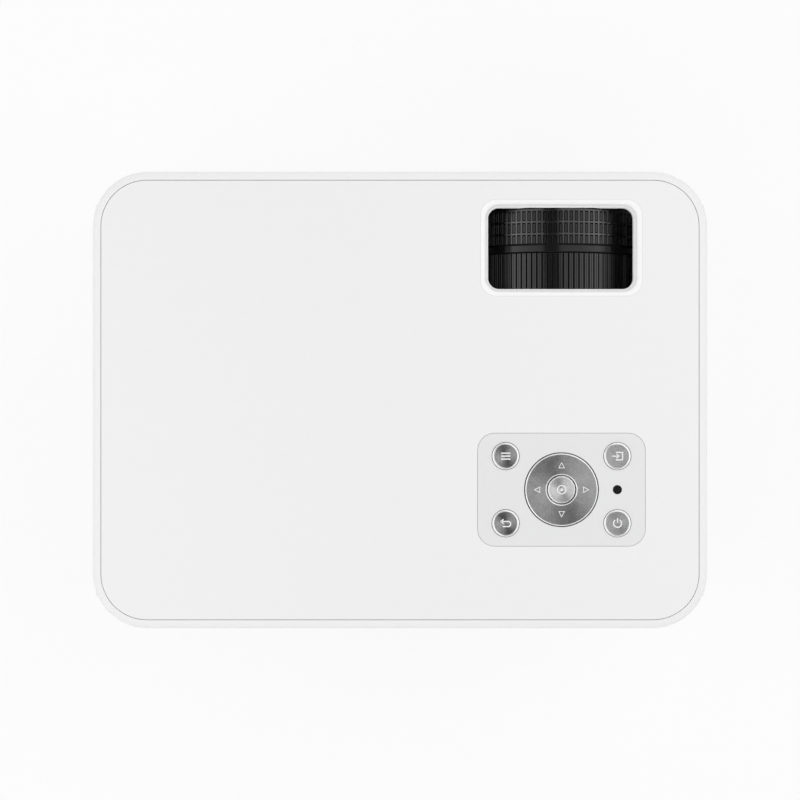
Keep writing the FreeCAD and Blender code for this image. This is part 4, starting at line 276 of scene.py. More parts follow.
switch_black = grained("switch_black", SWITCH_TINT, rough=0.5, pitch=0.3 * MM, depth=0.01 * MM, mottle=0.1)
dress(board_finish(), "main_board", "power_supply", "key_board")
dress(switch_black, "tact_switches")


# ---------------------------------------------------------------- sockets and mains inlet
# The sockets are folded tinned steel shells, the two round jacks black mouldings beside them. The
# mains inlet is a black moulded well with two turned brass pins.

# Each is a colour, how metallic it is, and its roughness.
TINNED = ((0.60, 0.60, 0.61), 1.0, 0.32)
JACK_BLACK = ((0.022, 0.022, 0.024), 0.0, 0.4)
PIN_BRASS = ((0.62, 0.47, 0.22), 1.0, 0.25)
JACKS_START = 27 * MM
PIN_SPREAD, PIN_REACH = 4.3 * MM, 1.3 * MM
NOISE_SCALE, NOISE_SHARE, NOISE_DEPTH = 2200.0, 0.06, 0.008 * MM


def extent(node):
    """A CAD node's low corner, middle and high corner (m), each to the micrometre."""
    low, high = (np.array(corner, float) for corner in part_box(node))
    return np.round([low, (low + high) / 2, high], 6)


def split_finish(name, first, second, mask):
    """Two plain finishes parted by a mask: the second shows where the mask is 1.

    A fine noise moves colour and relief a little over both.
    """
    finish, tree, shader = new_finish(name, {})
    place = add_node(tree, "ShaderNodeTexCoord").outputs["Object"]
    where = mask(tree, place)
    fine = add_node(tree, "ShaderNodeTexNoise", {"Vector": place, "Scale": NOISE_SCALE, "Detail": 2.0})
    tint = add_node(tree, "ShaderNodeMix", {
        "Factor": where, "A": shade(first[0]), "B": shade(second[0]),
    }, data_type="RGBA")
    worn = add_node(tree, "ShaderNodeMix", {
        "Factor": NOISE_SHARE, "A": tint.outputs["Result"], "B": fine.outputs["Color"],
    }, data_type="RGBA", blend_type="OVERLAY")
    metallic, rough = (
        add_node(tree, "ShaderNodeMix", {"Factor": where, "A": first[at], "B": second[at]}, data_type="FLOAT")
        for at in (1, 2)
    )
    relief = add_node(tree, "ShaderNodeBump", {"Height": fine.outputs["Fac"], "Distance": NOISE_DEPTH})
    feed(tree, shader, {
        "Base Color": worn.outputs["Result"], "Metallic": metallic.outputs["Result"],
        "Roughness": rough.outputs["Result"], "Normal": relief.outputs["Normal"],
    })
    return finish


def reckon(tree, operation, *values, kind="ShaderNodeMath", output="Value"):
    """The output of a Math node, or a Vector Math node, on sockets or numbers."""
    return add_node(tree, kind, dict(enumerate(values)), operation=operation).outputs[output]


def beyond_x(limit):
    """A mask that is 1 where X is above the limit."""
    def mask(tree, place):
        x = add_node(tree, "ShaderNodeSeparateXYZ", {"Vector": place}).outputs["X"]
        return reckon(tree, "GREATER_THAN", x, limit)
    return mask


def near_pins(middle, spread, radius):
    """A mask that is 1 inside the radius of two lines along Y, spread either side of a middle."""
    def mask(tree, place):
        split = add_node(tree, "ShaderNodeSeparateXYZ", {"Vector": place}).outputs
        side = reckon(tree, "ABSOLUTE", reckon(tree, "SUBTRACT", split["X"], middle[0]))
        off = reckon(tree, "SUBTRACT", side, spread)
        rise = reckon(tree, "SUBTRACT", split["Z"], middle[2])
        flat = add_node(tree, "ShaderNodeCombineXYZ", {"X": off, "Y": rise}).outputs["Vector"]
        away = reckon(tree, "LENGTH", flat, kind="ShaderNodeVectorMath")
        return reckon(tree, "LESS_THAN", away, radius)
    return mask


inlet_middle = extent("power_inlet")[1]
dress(split_finish("tinned_shells", TINNED, JACK_BLACK, beyond_x(JACKS_START)), "port_sockets")
on_pins = near_pins(inlet_middle, PIN_SPREAD, PIN_REACH)
dress(split_finish("inlet_black", JACK_BLACK, PIN_BRASS, on_pins), "power_inlet")

# Insulators and contacts inside the sockets, in millimetres. A thin tongue stands in the video socket and
# a thick one in the data socket, and a core fills the wide socket; each is a (low, high) pair of corners.
TONGUE_BACK, TONGUE_FRONT, CORE_FRONT = 91.5, 101.5, 99.0
VIDEO_TONGUE = ((-14.0, TONGUE_BACK, 22.4), (-2.0, TONGUE_FRONT, 23.5))
DATA_TONGUE = ((9.4, TONGUE_BACK, 23.6), (20.6, TONGUE_FRONT, 25.6))
WIDE_CORE = ((-56.0, TONGUE_BACK, 20.8), (-28.0, CORE_FRONT, 29.0))
STRIP_SUNK = 0.05
VIDEO_STRIPS, DATA_STRIPS = np.arange(-13.2, -2.6, 1.0), (10.4, 12.9, 15.9, 18.4)
WIDE_ROWS, WIDE_ROW_SHIFTS, WIDE_ROW = (22.6, 24.9, 27.2), (0, 1.1, 0), np.arange(-50.5, -32.5, 4.2)
CONTACT_HALF, CONTACT_BACK, CONTACT_FRONT = 0.35, 98.6, 99.15
TONGUE_EDGE, CONTACT_EDGE = 0.25, 0.05
TONGUE_TINT, GOLD_TINT = (0.02, 0.02, 0.021), (0.75, 0.56, 0.24)


def blocks(corners, edge):
    """Closed blocks between pairs of corners in millimetres, whose edges are cut off in front (+Y).

    Each block is three rectangles along Y: at the back, an edge before the front, and in front, where it
    is drawn in by the edge.
    """
    low, high = np.array(corners)[:, 0, None, None], np.array(corners)[:, 1, None, None]
    draw = np.array([0, 0, edge])[:, None]
    x = np.where([False, False, True, True], high[..., 0] - draw, low[..., 0] + draw)
    z = np.where([False, True, True, False], high[..., 2] - draw, low[..., 2] + draw)
    y = np.concatenate([low[..., 1], high[..., 1] - edge, high[..., 1]], axis=1) + 0 * x
    points = np.stack([x, y, z], -1) * MM
    one = np.array(capped_faces(3, 4))
    return points, np.concatenate([one + 12 * i for i in range(len(points))])


def strips_under(tongue, starts, width, short, proud):
    """Corners of the strips under a tongue: each is proud of it, and ends short of its tip."""
    low, high = tongue
    return [((x, low[1], low[2] - proud), (x + width, high[1] - short, low[2] + STRIP_SUNK)) for x in starts]


tongue_black = grained("tongue_black", TONGUE_TINT, rough=0.5, pitch=0.3 * MM, depth=0.01 * MM, mottle=0.1)
contact_gold = turned_metal("contact_gold", GOLD_TINT, rough=0.2, ridge=0.1 * MM, depth=0.002 * MM)
put("socket_tongues", *blocks([VIDEO_TONGUE, DATA_TONGUE, WIDE_CORE], TONGUE_EDGE), tongue_black,
    "chassis", "black_plastic")
contacts = strips_under(VIDEO_TONGUE, VIDEO_STRIPS, width=0.45, short=0.5, proud=0.1)
contacts += strips_under(DATA_TONGUE, DATA_STRIPS, width=1.2, short=0.8, proud=0.15)
contacts += [
    ((x - CONTACT_HALF, CONTACT_BACK, z - CONTACT_HALF), (x + CONTACT_HALF, CONTACT_FRONT, z + CONTACT_HALF))
    for z, shift in zip(WIDE_ROWS, WIDE_ROW_SHIFTS) for x in WIDE_ROW + shift
]
put("socket_contacts", *blocks(contacts, CONTACT_EDGE), contact_gold, "chassis", "steel_zinc")


# ---------------------------------------------------------------- disc drive
# A slim drive: case, cover and bridge are folded zinc-plated sheet, which shows the mill's faint
# rolling lines. The tray is a black moulding on steel rails; the spindle and sled ride in a steel frame.

SHEET_TINT, TRAY_TINT, SLED_TINT = (0.55, 0.56, 0.58), (0.024, 0.024, 0.025), (0.12, 0.12, 0.125)


def rolled_sheet(name, colour, rough):
    """Rolled sheet: lines along Y, a quarter of a millimetre apart and barely deep."""
    return grained(
        name, colour, rough, pitch=0.5 * MM, depth=0.004 * MM, mottle=0.06, stretch=(2, 0.06, 2),
        sockets={"Metallic": 1.0},
    )


sheet_zinc = rolled_sheet("sheet_zinc", SHEET_TINT, rough=0.36)
drive_black = grained("drive_black", TRAY_TINT, rough=0.48, pitch=0.35 * MM, depth=0.012 * MM, mottle=0.08)
sled_grey = grained("sled_grey", SLED_TINT, rough=0.5, pitch=0.3 * MM, depth=0.01 * MM, mottle=0.05)
dress(sheet_zinc, "drive_case", "drive_cover", "drive_bridge", "traverse_frame", "tray_rails")
dress(sheet_zinc, "spindle_motor")
dress(zinc_screw, "lead_screw")
dress(drive_black, "disc_tray", "turntable")
dress(sled_grey, "pickup_sled")


# ---------------------------------------------------------------- tray front and eject key
# The tray's front is moulded and grained like the case, so that it vanishes into the front wall. The
# eject key is a small metal-capped pill with the usual triangle over a bar, standing proud of it.

KEY_TINT, PALE_TINT = (0.555, 0.555, 0.56), (0.86, 0.86, 0.86)
SPECKLE_SCALE, SPECKLE_SPREAD, SPECKLE_DEPTH = 2300.0, 0.4, 0.004 * MM
CLOUD_SCALE, CLOUD_SHARES = 260.0, (0.8, 1.25)
EJECT_STROKE, EJECT_PROUD = 0.17, 0.08
EJECT_TRIANGLE = [(0, 1.25), (-1.35, -0.35), (1.35, -0.35), (0, 1.25)]
EJECT_BAR = [(-1.5, -1.1), (1.5, -1.1)]
dress(case_white, "tray_bezel")


def spun_metal(name, colour, rough):
    """A cap faced on a lathe: circular grooves about its own middle stretch each highlight into a fan.

    The highlight is stretched across the grooves, a quarter turn from the tangent round Z. A fine noise
    breaks the grooves up, and a slower one moves the roughness.
    """
    finish, tree, shader = new_finish(name, {
        "Metallic": 1.0, "Anisotropic": 0.8, "Anisotropic Rotation": 0.25,
    })
    place = add_node(tree, "ShaderNodeTexCoord").outputs["Object"]
    around = add_node(tree, "ShaderNodeTangent", direction_type="RADIAL", axis="Z")
    speckle, cloud = (
        add_node(tree, "ShaderNodeTexNoise", {"Vector": place, "Scale": scale, "Detail": 2.0}).outputs["Fac"]
        for scale in (SPECKLE_SCALE, CLOUD_SCALE)
    )
    tint = add_node(tree, "ShaderNodeMix", {
        "Factor": speckle, "A": shade(colour, 1 - SPECKLE_SPREAD), "B": shade(colour, 1 + SPECKLE_SPREAD),
    }, data_type="RGBA")
    sheen = add_node(tree, "ShaderNodeMapRange", {
        "Value": cloud, "To Min": rough * CLOUD_SHARES[0], "To Max": rough * CLOUD_SHARES[1],
    })
    relief = add_node(tree, "ShaderNodeBump", {"Height": speckle, "Distance": SPECKLE_DEPTH})
    feed(tree, shader, {
        "Base Color": tint.outputs["Result"],
        "Roughness": sheen.outputs["Result"],
        "Tangent": around.outputs["Tangent"],
        "Normal": relief.outputs["Normal"],
    })
    return finish


def mitred(path, closed):
    """Each point's step to the left per unit of half width: (a + b) / (1 + a.b) for its lines' normals."""
    ahead = np.diff(np.vstack([path, path[:1]]) if closed else path, axis=0)
    ahead = ahead / np.linalg.norm(ahead, axis=1, keepdims=True)
    left = np.stack([-ahead[:, 1], ahead[:, 0]], -1)
    before = np.roll(left, 1, axis=0) if closed else np.vstack([left[:1], left])
    after = left if closed else np.vstack([left, left[-1:]])
    return (before + after) / (1 + np.sum(before * after, axis=1, keepdims=True))


def strokes(paths, half_width, origin, right, up, height):
    """Raised lines on a face: a low block runs along each path of (right, up) points in millimetres.

    A path whose last point is its first is a closed one. Its section is a rectangle from the origin's
    plane up to the height, and as far as the half width to each side; out is right x up.
    """
    points, faces, first = [], [], 0
    right, up = np.array(right, float), np.array(up, float)
    out = np.cross(right, up)
    for path in paths:
        path = np.array(path, float)
        closed = bool(np.allclose(path[0], path[-1]))
        path = path[:-1] if closed else path
        left = path + mitred(path, closed) * half_width
        corners = [(left, 0), (left, height), (2 * path - left, height), (2 * path - left, 0)]
        ring = np.stack([
            np.array(origin) + MM * (at[:, :1] * right + at[:, 1:] * up + lift * out) for at, lift in corners
        ], 1)
        if closed:
            faces += grid_faces(len(path), 4, looped=True, first=first).tolist()
        else:
            faces += capped_faces(len(path), 4, first=first)
        points.append(ring.reshape(-1, 3))
        first += ring.size // 3
    return np.concatenate(points), faces


key_metal = spun_metal("key_metal", KEY_TINT, rough=0.24)
symbol_pale = grained("symbol_pale", PALE_TINT, rough=0.4, pitch=0.2 * MM, depth=0.002 * MM, mottle=0.02)
dress(key_metal, "eject_button")
eject_low, eject_middle = extent("eject_button")[:2]
eject_face = (eject_middle[0], eject_low[1], eject_middle[2])
eject_lines = strokes(
    [EJECT_TRIANGLE, EJECT_BAR], EJECT_STROKE, eject_face, right=(1, 0, 0), up=(0, 0, 1), height=EJECT_PROUD
)
put("eject_mark", *eject_lines, symbol_pale, "eject", "key_metal")


# ---------------------------------------------------------------- light box, mirror and optics
# Two black glass-filled halves clip together round the light path. The field lenses are clear
# moulded acrylic with fine circular steps, the mirror is silvered on its face in a grey frame.

BOX_TINT, FRAME_TINT, SCREEN_TINT = (0.02, 0.02, 0.02), (0.11, 0.115, 0.12), (0.03, 0.035, 0.05)
SILVER_TINT, FIN_TINT = (0.86, 0.87, 0.88), (0.72, 0.73, 0.75)
FRESNEL_TINT, CONDENSER_TINT = (0.93, 0.95, 0.96), (0.95, 0.97, 0.97)
light_path = extent("lcd_panel")[1]


def clear_finish(name, colour, ring_pitch, depth, rough):
    """Clear plastic or glass; rings of the given pitch and depth lie about the line of the light path."""
    finish, tree, shader = new_finish(name, {
        "Base Color": shade(colour), "Transmission Weight": 0.9, "IOR": 1.49, "Roughness": rough,
    })
    place = add_node(tree, "ShaderNodeTexCoord").outputs["Object"]
    centred = add_node(tree, "ShaderNodeMapping", {
        "Vector": place, "Location": (0, -light_path[1], -light_path[2]),
    })
    rings = add_node(tree, "ShaderNodeTexWave", {
        "Vector": centred.outputs["Vector"], "Scale": WAVE_REPEAT / ring_pitch,
    }, wave_type="RINGS", rings_direction="X", wave_profile="SAW")
    relief = add_node(tree, "ShaderNodeBump", {"Height": rings.outputs["Fac"], "Distance": depth})
    feed(tree, shader, {"Normal": relief.outputs["Normal"]})
    return finish


box_black = grained("box_black", BOX_TINT, rough=0.6, pitch=0.6 * MM, depth=0.02 * MM, mottle=0.1)
frame_grey = grained("frame_grey", FRAME_TINT, rough=0.5, pitch=0.4 * MM, depth=0.012 * MM, mottle=0.05)
fresnel_clear = clear_finish("fresnel_clear", FRESNEL_TINT, ring_pitch=0.5 * MM, depth=0.05 * MM, rough=0.08)
condenser_glass = clear_finish(
    "condenser_glass", CONDENSER_TINT, ring_pitch=3.0 * MM, depth=0.001 * MM, rough=0.02
)
picture_panel = grained(
    "picture_panel", SCREEN_TINT, rough=0.15, pitch=0.08 * MM, depth=0.001 * MM, mottle=0.2
)
silvered = grained(
    "silvered", SILVER_TINT, rough=0.04, pitch=2.0 * MM, depth=0.0005 * MM, mottle=0.01,
    sockets={"Metallic": 1.0},
)
dress(box_black, "light_box_lower", "light_box_upper", "lens_bracket", "fan_frame", "fan_rotor")
dress(frame_grey, "mirror_frame")
dress(zinc_screw, "keystone_rod")
dress(fresnel_clear, "field_fresnel", "collimator_fresnel")
dress(condenser_glass, "condenser_lens")
dress(picture_panel, "lcd_panel")
dress(silvered, "mirror")
dress(rolled_sheet("fin_aluminium", FIN_TINT, rough=0.34), "heat_sink", "led_lamp")


# ---------------------------------------------------------------- speakers
# Two small drivers behind the pierced side walls: pressed paper cones in black moulded baskets.
# They are not seen from outside, except as dark behind the pierced holes.

CONE_TINT = (0.03, 0.029, 0.028)
cone_paper = grained("cone_paper", CONE_TINT, rough=0.9, pitch=0.25 * MM, depth=0.06 * MM, mottle=0.25)
dress(cone_paper, "speakers")


# ---------------------------------------------------------------- lens barrel and glass
# The barrel slides in a fixed tube on a bracket; both are black, and the barrel's mouth has turned
# light traps. The front glass is coated, so it shows purple and green instead of plain grey.

TRAP_PITCH, TRAP_DEPTH = 0.7 * MM, 0.15 * MM
BARREL_DARK, BARREL_PALE = (0.011, 0.011, 0.012), (0.019, 0.019, 0.02)
BARREL_ROUGH, DUST_SCALE = (0.38, 0.55), 900.0
COAT_PURPLE, COAT_GREEN, GREEN_FROM = (0.36, 0.30, 0.62), (0.30, 0.55, 0.42), 0.6
POLISH_SCALE, POLISH_DEPTH = 120.0, 0.0004 * MM


def trapped_black():
    """Matt black with turned light traps: rings along Y, TRAP_PITCH apart and TRAP_DEPTH deep."""
    finish, tree, shader = new_finish("barrel_black", {})
    place = add_node(tree, "ShaderNodeTexCoord").outputs["Object"]
    traps = add_node(tree, "ShaderNodeTexWave", {
        "Vector": place, "Scale": WAVE_REPEAT / TRAP_PITCH,
    }, bands_direction="Y", wave_profile="TRI")
    dust = add_node(tree, "ShaderNodeTexNoise", {"Vector": place, "Scale": DUST_SCALE, "Detail": 3.0})
    tint = add_node(tree, "ShaderNodeMix", {
        "Factor": dust.outputs["Fac"], "A": shade(BARREL_DARK), "B": shade(BARREL_PALE),
    }, data_type="RGBA")
    sheen = add_node(tree, "ShaderNodeMapRange", {
        "Value": dust.outputs["Fac"], "To Min": BARREL_ROUGH[0], "To Max": BARREL_ROUGH[1],
    })
    relief = add_node(tree, "ShaderNodeBump", {"Height": traps.outputs["Fac"], "Distance": TRAP_DEPTH})
    feed(tree, shader, {
        "Base Color": tint.outputs["Result"],
        "Roughness": sheen.outputs["Result"],
        "Normal": relief.outputs["Normal"],
    })
    return finish


def coated_glass():
    """Coated optical glass: its colour moves from purple to green towards the rim."""
    finish, tree, shader = new_finish("coated_glass", {
        "Transmission Weight": 0.96, "IOR": 1.5, "Roughness": 0.02,
        "Coat Weight": 0.2, "Coat Roughness": 0.03,
    })
    facing = add_node(tree, "ShaderNodeLayerWeight", {"Blend": 0.35}).outputs["Facing"]
    tint = colour_ramp(tree, facing, ((0.0, COAT_PURPLE), (GREEN_FROM, COAT_GREEN)))
    place = add_node(tree, "ShaderNodeTexCoord").outputs["Object"]
    polish = add_node(tree, "ShaderNodeTexNoise", {"Vector": place, "Scale": POLISH_SCALE, "Detail": 4.0})
    relief = add_node(tree, "ShaderNodeBump", {"Height": polish.outputs["Fac"], "Distance": POLISH_DEPTH})
    feed(tree, shader, {"Base Color": tint, "Normal": relief.outputs["Normal"]})
    return finish


dress(trapped_black(), "lens_barrel", "lens_tube", "lens_trim_ring")
dress(coated_glass(), "front_lens", "rear_lens")


# ---------------------------------------------------------------- focus and keystone rings
# Black mouldings that turn on the lens tube. The front one has three rows of small raised pads for the
# thumb in a lattice of bars, and a smooth band behind them; the rear one has long ribs with a fine line
# between each two, and a ramp on its rear face that pushes the keystone rod.

focus_low, focus_middle, focus_high = extent("focus_ring")
LENS_X, LENS_Z = focus_middle[0], focus_middle[2]
RING_OUTER = focus_high[2] - LENS_Z
FOCUS_FRONT, FOCUS_BACK = focus_low[1], focus_high[1]
RING_BARE, RING_INNER = 43.8 * MM, 41.5 * MM
ROUND_STEPS = 232
GRIP_COUNT = 116
GRIP_PITCH = 2 * math.pi / GRIP_COUNT
GRIP_LOW = RING_BARE - 0.2 * MM
HOOP_EDGE = 0.1 * MM
# The second black, darker than the ring's own, is painted shade for the grooves between the grips.
RING_TINT, GROOVE_SHADE_TINT = (0.007, 0.007, 0.0074), (0.004, 0.004, 0.004)


def about_lens(radius, along, angle):
    """Points at a radius and an angle from the top of the lens axis, at a place along Y."""
    radius, along, angle = np.broadcast_arrays(radius, along, angle)
    return np.stack([LENS_X + radius * np.sin(angle), along, LENS_Z + radius * np.cos(angle)], -1)


def ring_body(profile):
    """A closed outline of (radius, Y), turned about the lens axis; Y may depend on radius and angle."""
    angle = np.linspace(0, 2 * np.pi, ROUND_STEPS, endpoint=False)
    rows = [about_lens(r, y(r, angle) if callable(y) else y, angle) for r, y in profile]
    return np.stack(rows), grid_faces(len(rows), ROUND_STEPS, looped=True)


def hoop(start, end):
    """Outline points of a raised hoop between two places along Y, with its outer edges cut off."""
    return [
        (RING_BARE, start), (RING_OUTER - HOOP_EDGE, start), (RING_OUTER, start + HOOP_EDGE),
        (RING_OUTER, end - HOOP_EDGE), (RING_OUTER - HOOP_EDGE, end), (RING_BARE, end),
    ]


def grips(half_width, start, end, high, edge, offset=0.0):
    """Raised pads round the ring, each a block with a bevelled top, as three rings of four corners.

    A corner is at angle (i + offset) * pitch +- width / radius, at Y start or end, and at its ring's
    radius: GRIP_LOW, high - edge or high. The top ring is drawn in by the edge, and the foot spreads.
    """
    middle = (np.arange(GRIP_COUNT)[:, None, None] + offset) * GRIP_PITCH
    radius = np.array([GRIP_LOW, high - edge, high])[None, :, None]
    draw = np.array([-0.4 * edge, 0, edge])[None, :, None]
    side = np.array([-1, -1, 1, 1])[None, None, :]
    ahead = np.array([False, True, True, False])[None, None, :]
    angle = middle + side * (half_width - draw) / RING_OUTER
    points = about_lens(radius, np.where(ahead, end - draw, start + draw), angle)
    one = np.array(capped_faces(3, 4))[:, ::-1]
    return points, np.concatenate([one + 12 * i for i in range(GRIP_COUNT)])


def merged(*shapes):
    """Several (points, faces) shapes as one."""
    counts = np.cumsum([0] + [len(points.reshape(-1, 3)) for points, _ in shapes])
    return (
        np.concatenate([points.reshape(-1, 3) for points, _ in shapes]),
        [face for (_, faces), first in zip(shapes, counts) for face in (np.asarray(faces) + first).tolist()],
    )


def ring_finish(name, gloss):
    """Black plastic from a polished tool; gloss is how strongly its face mirrors."""
    return grained(
        name, RING_TINT, rough=0.17, pitch=0.4 * MM, depth=0.003 * MM, mottle=0.12,
        sockets={"Specular IOR Level": gloss},
    )


ring_black = ring_finish("ring_black", gloss=0.37)
ring_ribbed = ring_finish("ring_ribbed", gloss=0.6)
ring_lattice = ring_finish("ring_lattice", gloss=0.85)
# The grooves between the grips are left dull, and their black is painted darker than the ring's as shade.
ring_groove_shaded = grained("ring_groove_shaded", GROOVE_SHADE_TINT, rough=0.75, pitch=0.4 * MM, depth=0.01 * MM, mottle=0.2)

# Places along Y of the focus ring's hoops, pads, band and inner relief.
LATTICE_HOOPS = [(-87.8 * MM, -86.4 * MM), (-81.95 * MM, -81.0 * MM), (-76.45 * MM, -75.5 * MM)]
PAD_ROWS = [(-86.05 * MM, -82.15 * MM), (-80.6 * MM, -76.65 * MM), (-75.1 * MM, -71.5 * MM)]
BAR_START, BAR_END = -87.0 * MM, -71.5 * MM
BAND_START, BAND_END = -70.75 * MM, -67.8 * MM
RELIEF_RADIUS, RELIEF_START, RELIEF_END = 43.0 * MM, -86.5 * MM, -71.5 * MM
LAND_END = -87.85 * MM
BAND_FLOOR = RING_OUTER - 0.2 * MM
BAR_HALF, BAR_TOP, BAR_EDGE = 0.42 * MM, RING_OUTER - 0.01 * MM, 0.08 * MM
PAD_HALF, PAD_EDGE = 0.55 * MM, 0.1 * MM

focus_core = [
    (RING_INNER, FOCUS_FRONT), (RING_OUTER - 0.6 * MM, FOCUS_FRONT), (RING_OUTER - 0.4 * MM, LAND_END),
    (RING_BARE, LAND_END), (RING_BARE, BAND_START), (BAND_FLOOR, BAND_START), (BAND_FLOOR, FOCUS_BACK),
    (RING_INNER, FOCUS_BACK), (RING_INNER, RELIEF_END), (RELIEF_RADIUS, RELIEF_END),
    (RELIEF_RADIUS, RELIEF_START), (RING_INNER, RELIEF_START),
]
put("focus_ring_core", *ring_body(focus_core), ring_groove_shaded, "focus", "ring_black", ["focus_ring"])
hoops = [ring_body(hoop(start, end)) for start, end in LATTICE_HOOPS]
bars = grips(BAR_HALF, BAR_START, BAR_END, BAR_TOP, BAR_EDGE, offset=0.5)
put("focus_ring_lattice", *merged(*hoops, bars), ring_lattice, "focus", "ring_black")
band = ring_body(hoop(BAND_START, BAND_END))
pads = [grips(PAD_HALF, start, end, RING_OUTER, PAD_EDGE) for start, end in PAD_ROWS]
put("focus_ring_padded", *merged(band, *pads), ring_black, "focus", "ring_black")

KEYSTONE_FRONT = extent("keystone_ring")[0][1]
KEYSTONE_BACK = KEYSTONE_FRONT + 20.3 * MM
KEYSTONE_RIM, RIM_WIDTH = RING_BARE + 0.5 * MM, 0.3 * MM
RAMP_HALF, RAMP_MIDDLE, RAMP_SLOPE = 25.0 * MM, 1.8 * MM, 0.066
RIB_START, RIB_END = KEYSTONE_FRONT + 0.08 * MM, KEYSTONE_BACK - 0.4 * MM
RIB_HALF, RIB_TOP, RIB_EDGE = 0.97 * MM, RING_OUTER - 0.3 * MM, 0.08 * MM
CREST_HALF, CREST_EDGE, CREST_SHIFT, CREST_SHORT = 0.37 * MM, 0.09 * MM, 0.2, 0.05 * MM


def ramp_face(radius, angle):
    """The rear face's Y: flat, but near the top it stands out by RAMP_MIDDLE - RAMP_SLOPE * x."""
    x = radius * np.sin(angle)
    on_ramp = (np.abs(x) < RAMP_HALF) & (np.cos(angle) > 0)
    return KEYSTONE_BACK + np.where(on_ramp, RAMP_MIDDLE - RAMP_SLOPE * x, 0)


keystone_outline = [
    (RING_INNER, KEYSTONE_FRONT), (RING_BARE, KEYSTONE_FRONT), (RING_BARE, KEYSTONE_BACK - RIM_WIDTH),
    (KEYSTONE_RIM, KEYSTONE_BACK - RIM_WIDTH), (KEYSTONE_RIM, ramp_face), (RING_INNER, ramp_face),
]
put("keystone_ring_core", *ring_body(keystone_outline), ring_groove_shaded,
    "keystone", "ring_black", ["keystone_ring"])
ribs = grips(RIB_HALF, RIB_START, RIB_END, RIB_TOP, RIB_EDGE)
crests = [
    grips(CREST_HALF, RIB_START + CREST_SHORT, RIB_END - CREST_SHORT, RING_OUTER, CREST_EDGE, offset)
    for offset in (-CREST_SHIFT, CREST_SHIFT)
]
put("keystone_ring_ribbed", *merged(ribs, *crests), ring_ribbed, "keystone", "ring_black")


# ---------------------------------------------------------------- side grilles and socket panel
# The louvred side plates and the socket panel are separate mouldings clipped in from behind; the
# plates match the top panel, the socket panel is black.

PANEL_TINT, SOCKET_PANEL_TINT = (0.865, 0.865, 0.865), (0.02, 0.02, 0.021)


def panel_finish(name):
    """The finer, glossier white of the plates and the top panel."""
    return grained(name, PANEL_TINT, rough=0.36, pitch=0.35 * MM, depth=0.006 * MM, mottle=0.006)


panel_black = grained(
    "panel_black", SOCKET_PANEL_TINT, rough=0.45, pitch=0.4 * MM, depth=0.014 * MM, mottle=0.08
)
dress(panel_finish("panel_white"), "left_grille", "right_grille")
dress(panel_black, "port_panel")


# ---------------------------------------------------------------- top panel and ring window
# The top panel is one white ABS moulding that lies in the rim. A rounded frame about the ring window is
# painted paler as a highlight, and a fine line along its edge darker as painted groove shade. A narrow
# lip inside the window hides the gap beside the rings.

WINDOW_X, WINDOW_Y = LENS_X, -69.1 * MM
WINDOW_HALF, WINDOW_CORNER = (34.35 * MM, 19.75 * MM), 6.2 * MM
FRAME_HALF, FRAME_CORNER, FRAME_LINE = (36.6 * MM, 21.8 * MM), 7.0 * MM, 0.14 * MM
# The paler white inside the frame is a painted highlight, and the grey of its edge line is painted groove
# shade.
PAINTED_HIGHLIGHT_TINT, PAINTED_GROOVE_SHADE_TINT = (0.935, 0.935, 0.935), (0.77, 0.77, 0.77)
CORNER_STEPS = 16
# The lip's outline: how far inside the window, and Z, in millimetres.
LIP = [(0.1, 100.6), (0.1, 102.1), (0.35, 101.75), (1.1, 100.95), (1.2, 100.82), (1.15, 100.7)]


def panel_with_painted_light():
    """The panel's white, painted paler within a rounded rectangle as a highlight, and painted darker on a
    fine line along its edge as a groove's shade.

    The distance is length(max(|p - middle| - (half - corner), 0)), which is the corner's radius on the edge.
    """
    finish = panel_finish("top_panel_white")
    tree = finish.node_tree
    shader = tree.nodes["Principled BSDF"]
    tint = shader.inputs["Base Color"].links[0].from_socket
    place = add_node(tree, "ShaderNodeTexCoord").outputs["Object"]
    centred = add_node(tree, "ShaderNodeMapping", {
        "Vector": place, "Location": (-WINDOW_X, -WINDOW_Y, 0), "Scale": (1, 1, 0),
    }).outputs["Vector"]
    inner = (FRAME_HALF[0] - FRAME_CORNER, FRAME_HALF[1] - FRAME_CORNER, 0)
    side = reckon(tree, "ABSOLUTE", centred, kind="ShaderNodeVectorMath", output="Vector")
    past = reckon(tree, "SUBTRACT", side, inner, kind="ShaderNodeVectorMath", output="Vector")
    kept = reckon(tree, "MAXIMUM", past, (0, 0, 0), kind="ShaderNodeVectorMath", output="Vector")
    away = reckon(tree, "LENGTH", kept, kind="ShaderNodeVectorMath")
    inside = reckon(tree, "LESS_THAN", away, FRAME_CORNER)
    edge = reckon(tree, "COMPARE", away, FRAME_CORNER + FRAME_LINE, FRAME_LINE)
    # Painted highlight inside the frame, then painted groove shade on its edge line.
    for mask, marked in ((inside, PAINTED_HIGHLIGHT_TINT), (edge, PAINTED_GROOVE_SHADE_TINT)):
        tint = add_node(tree, "ShaderNodeMix", {
            "Factor": mask, "A": tint, "B": shade(marked),
        }, data_type="RGBA").outputs["Result"]
    feed(tree, shader, {"Base Color": tint})
    return finish


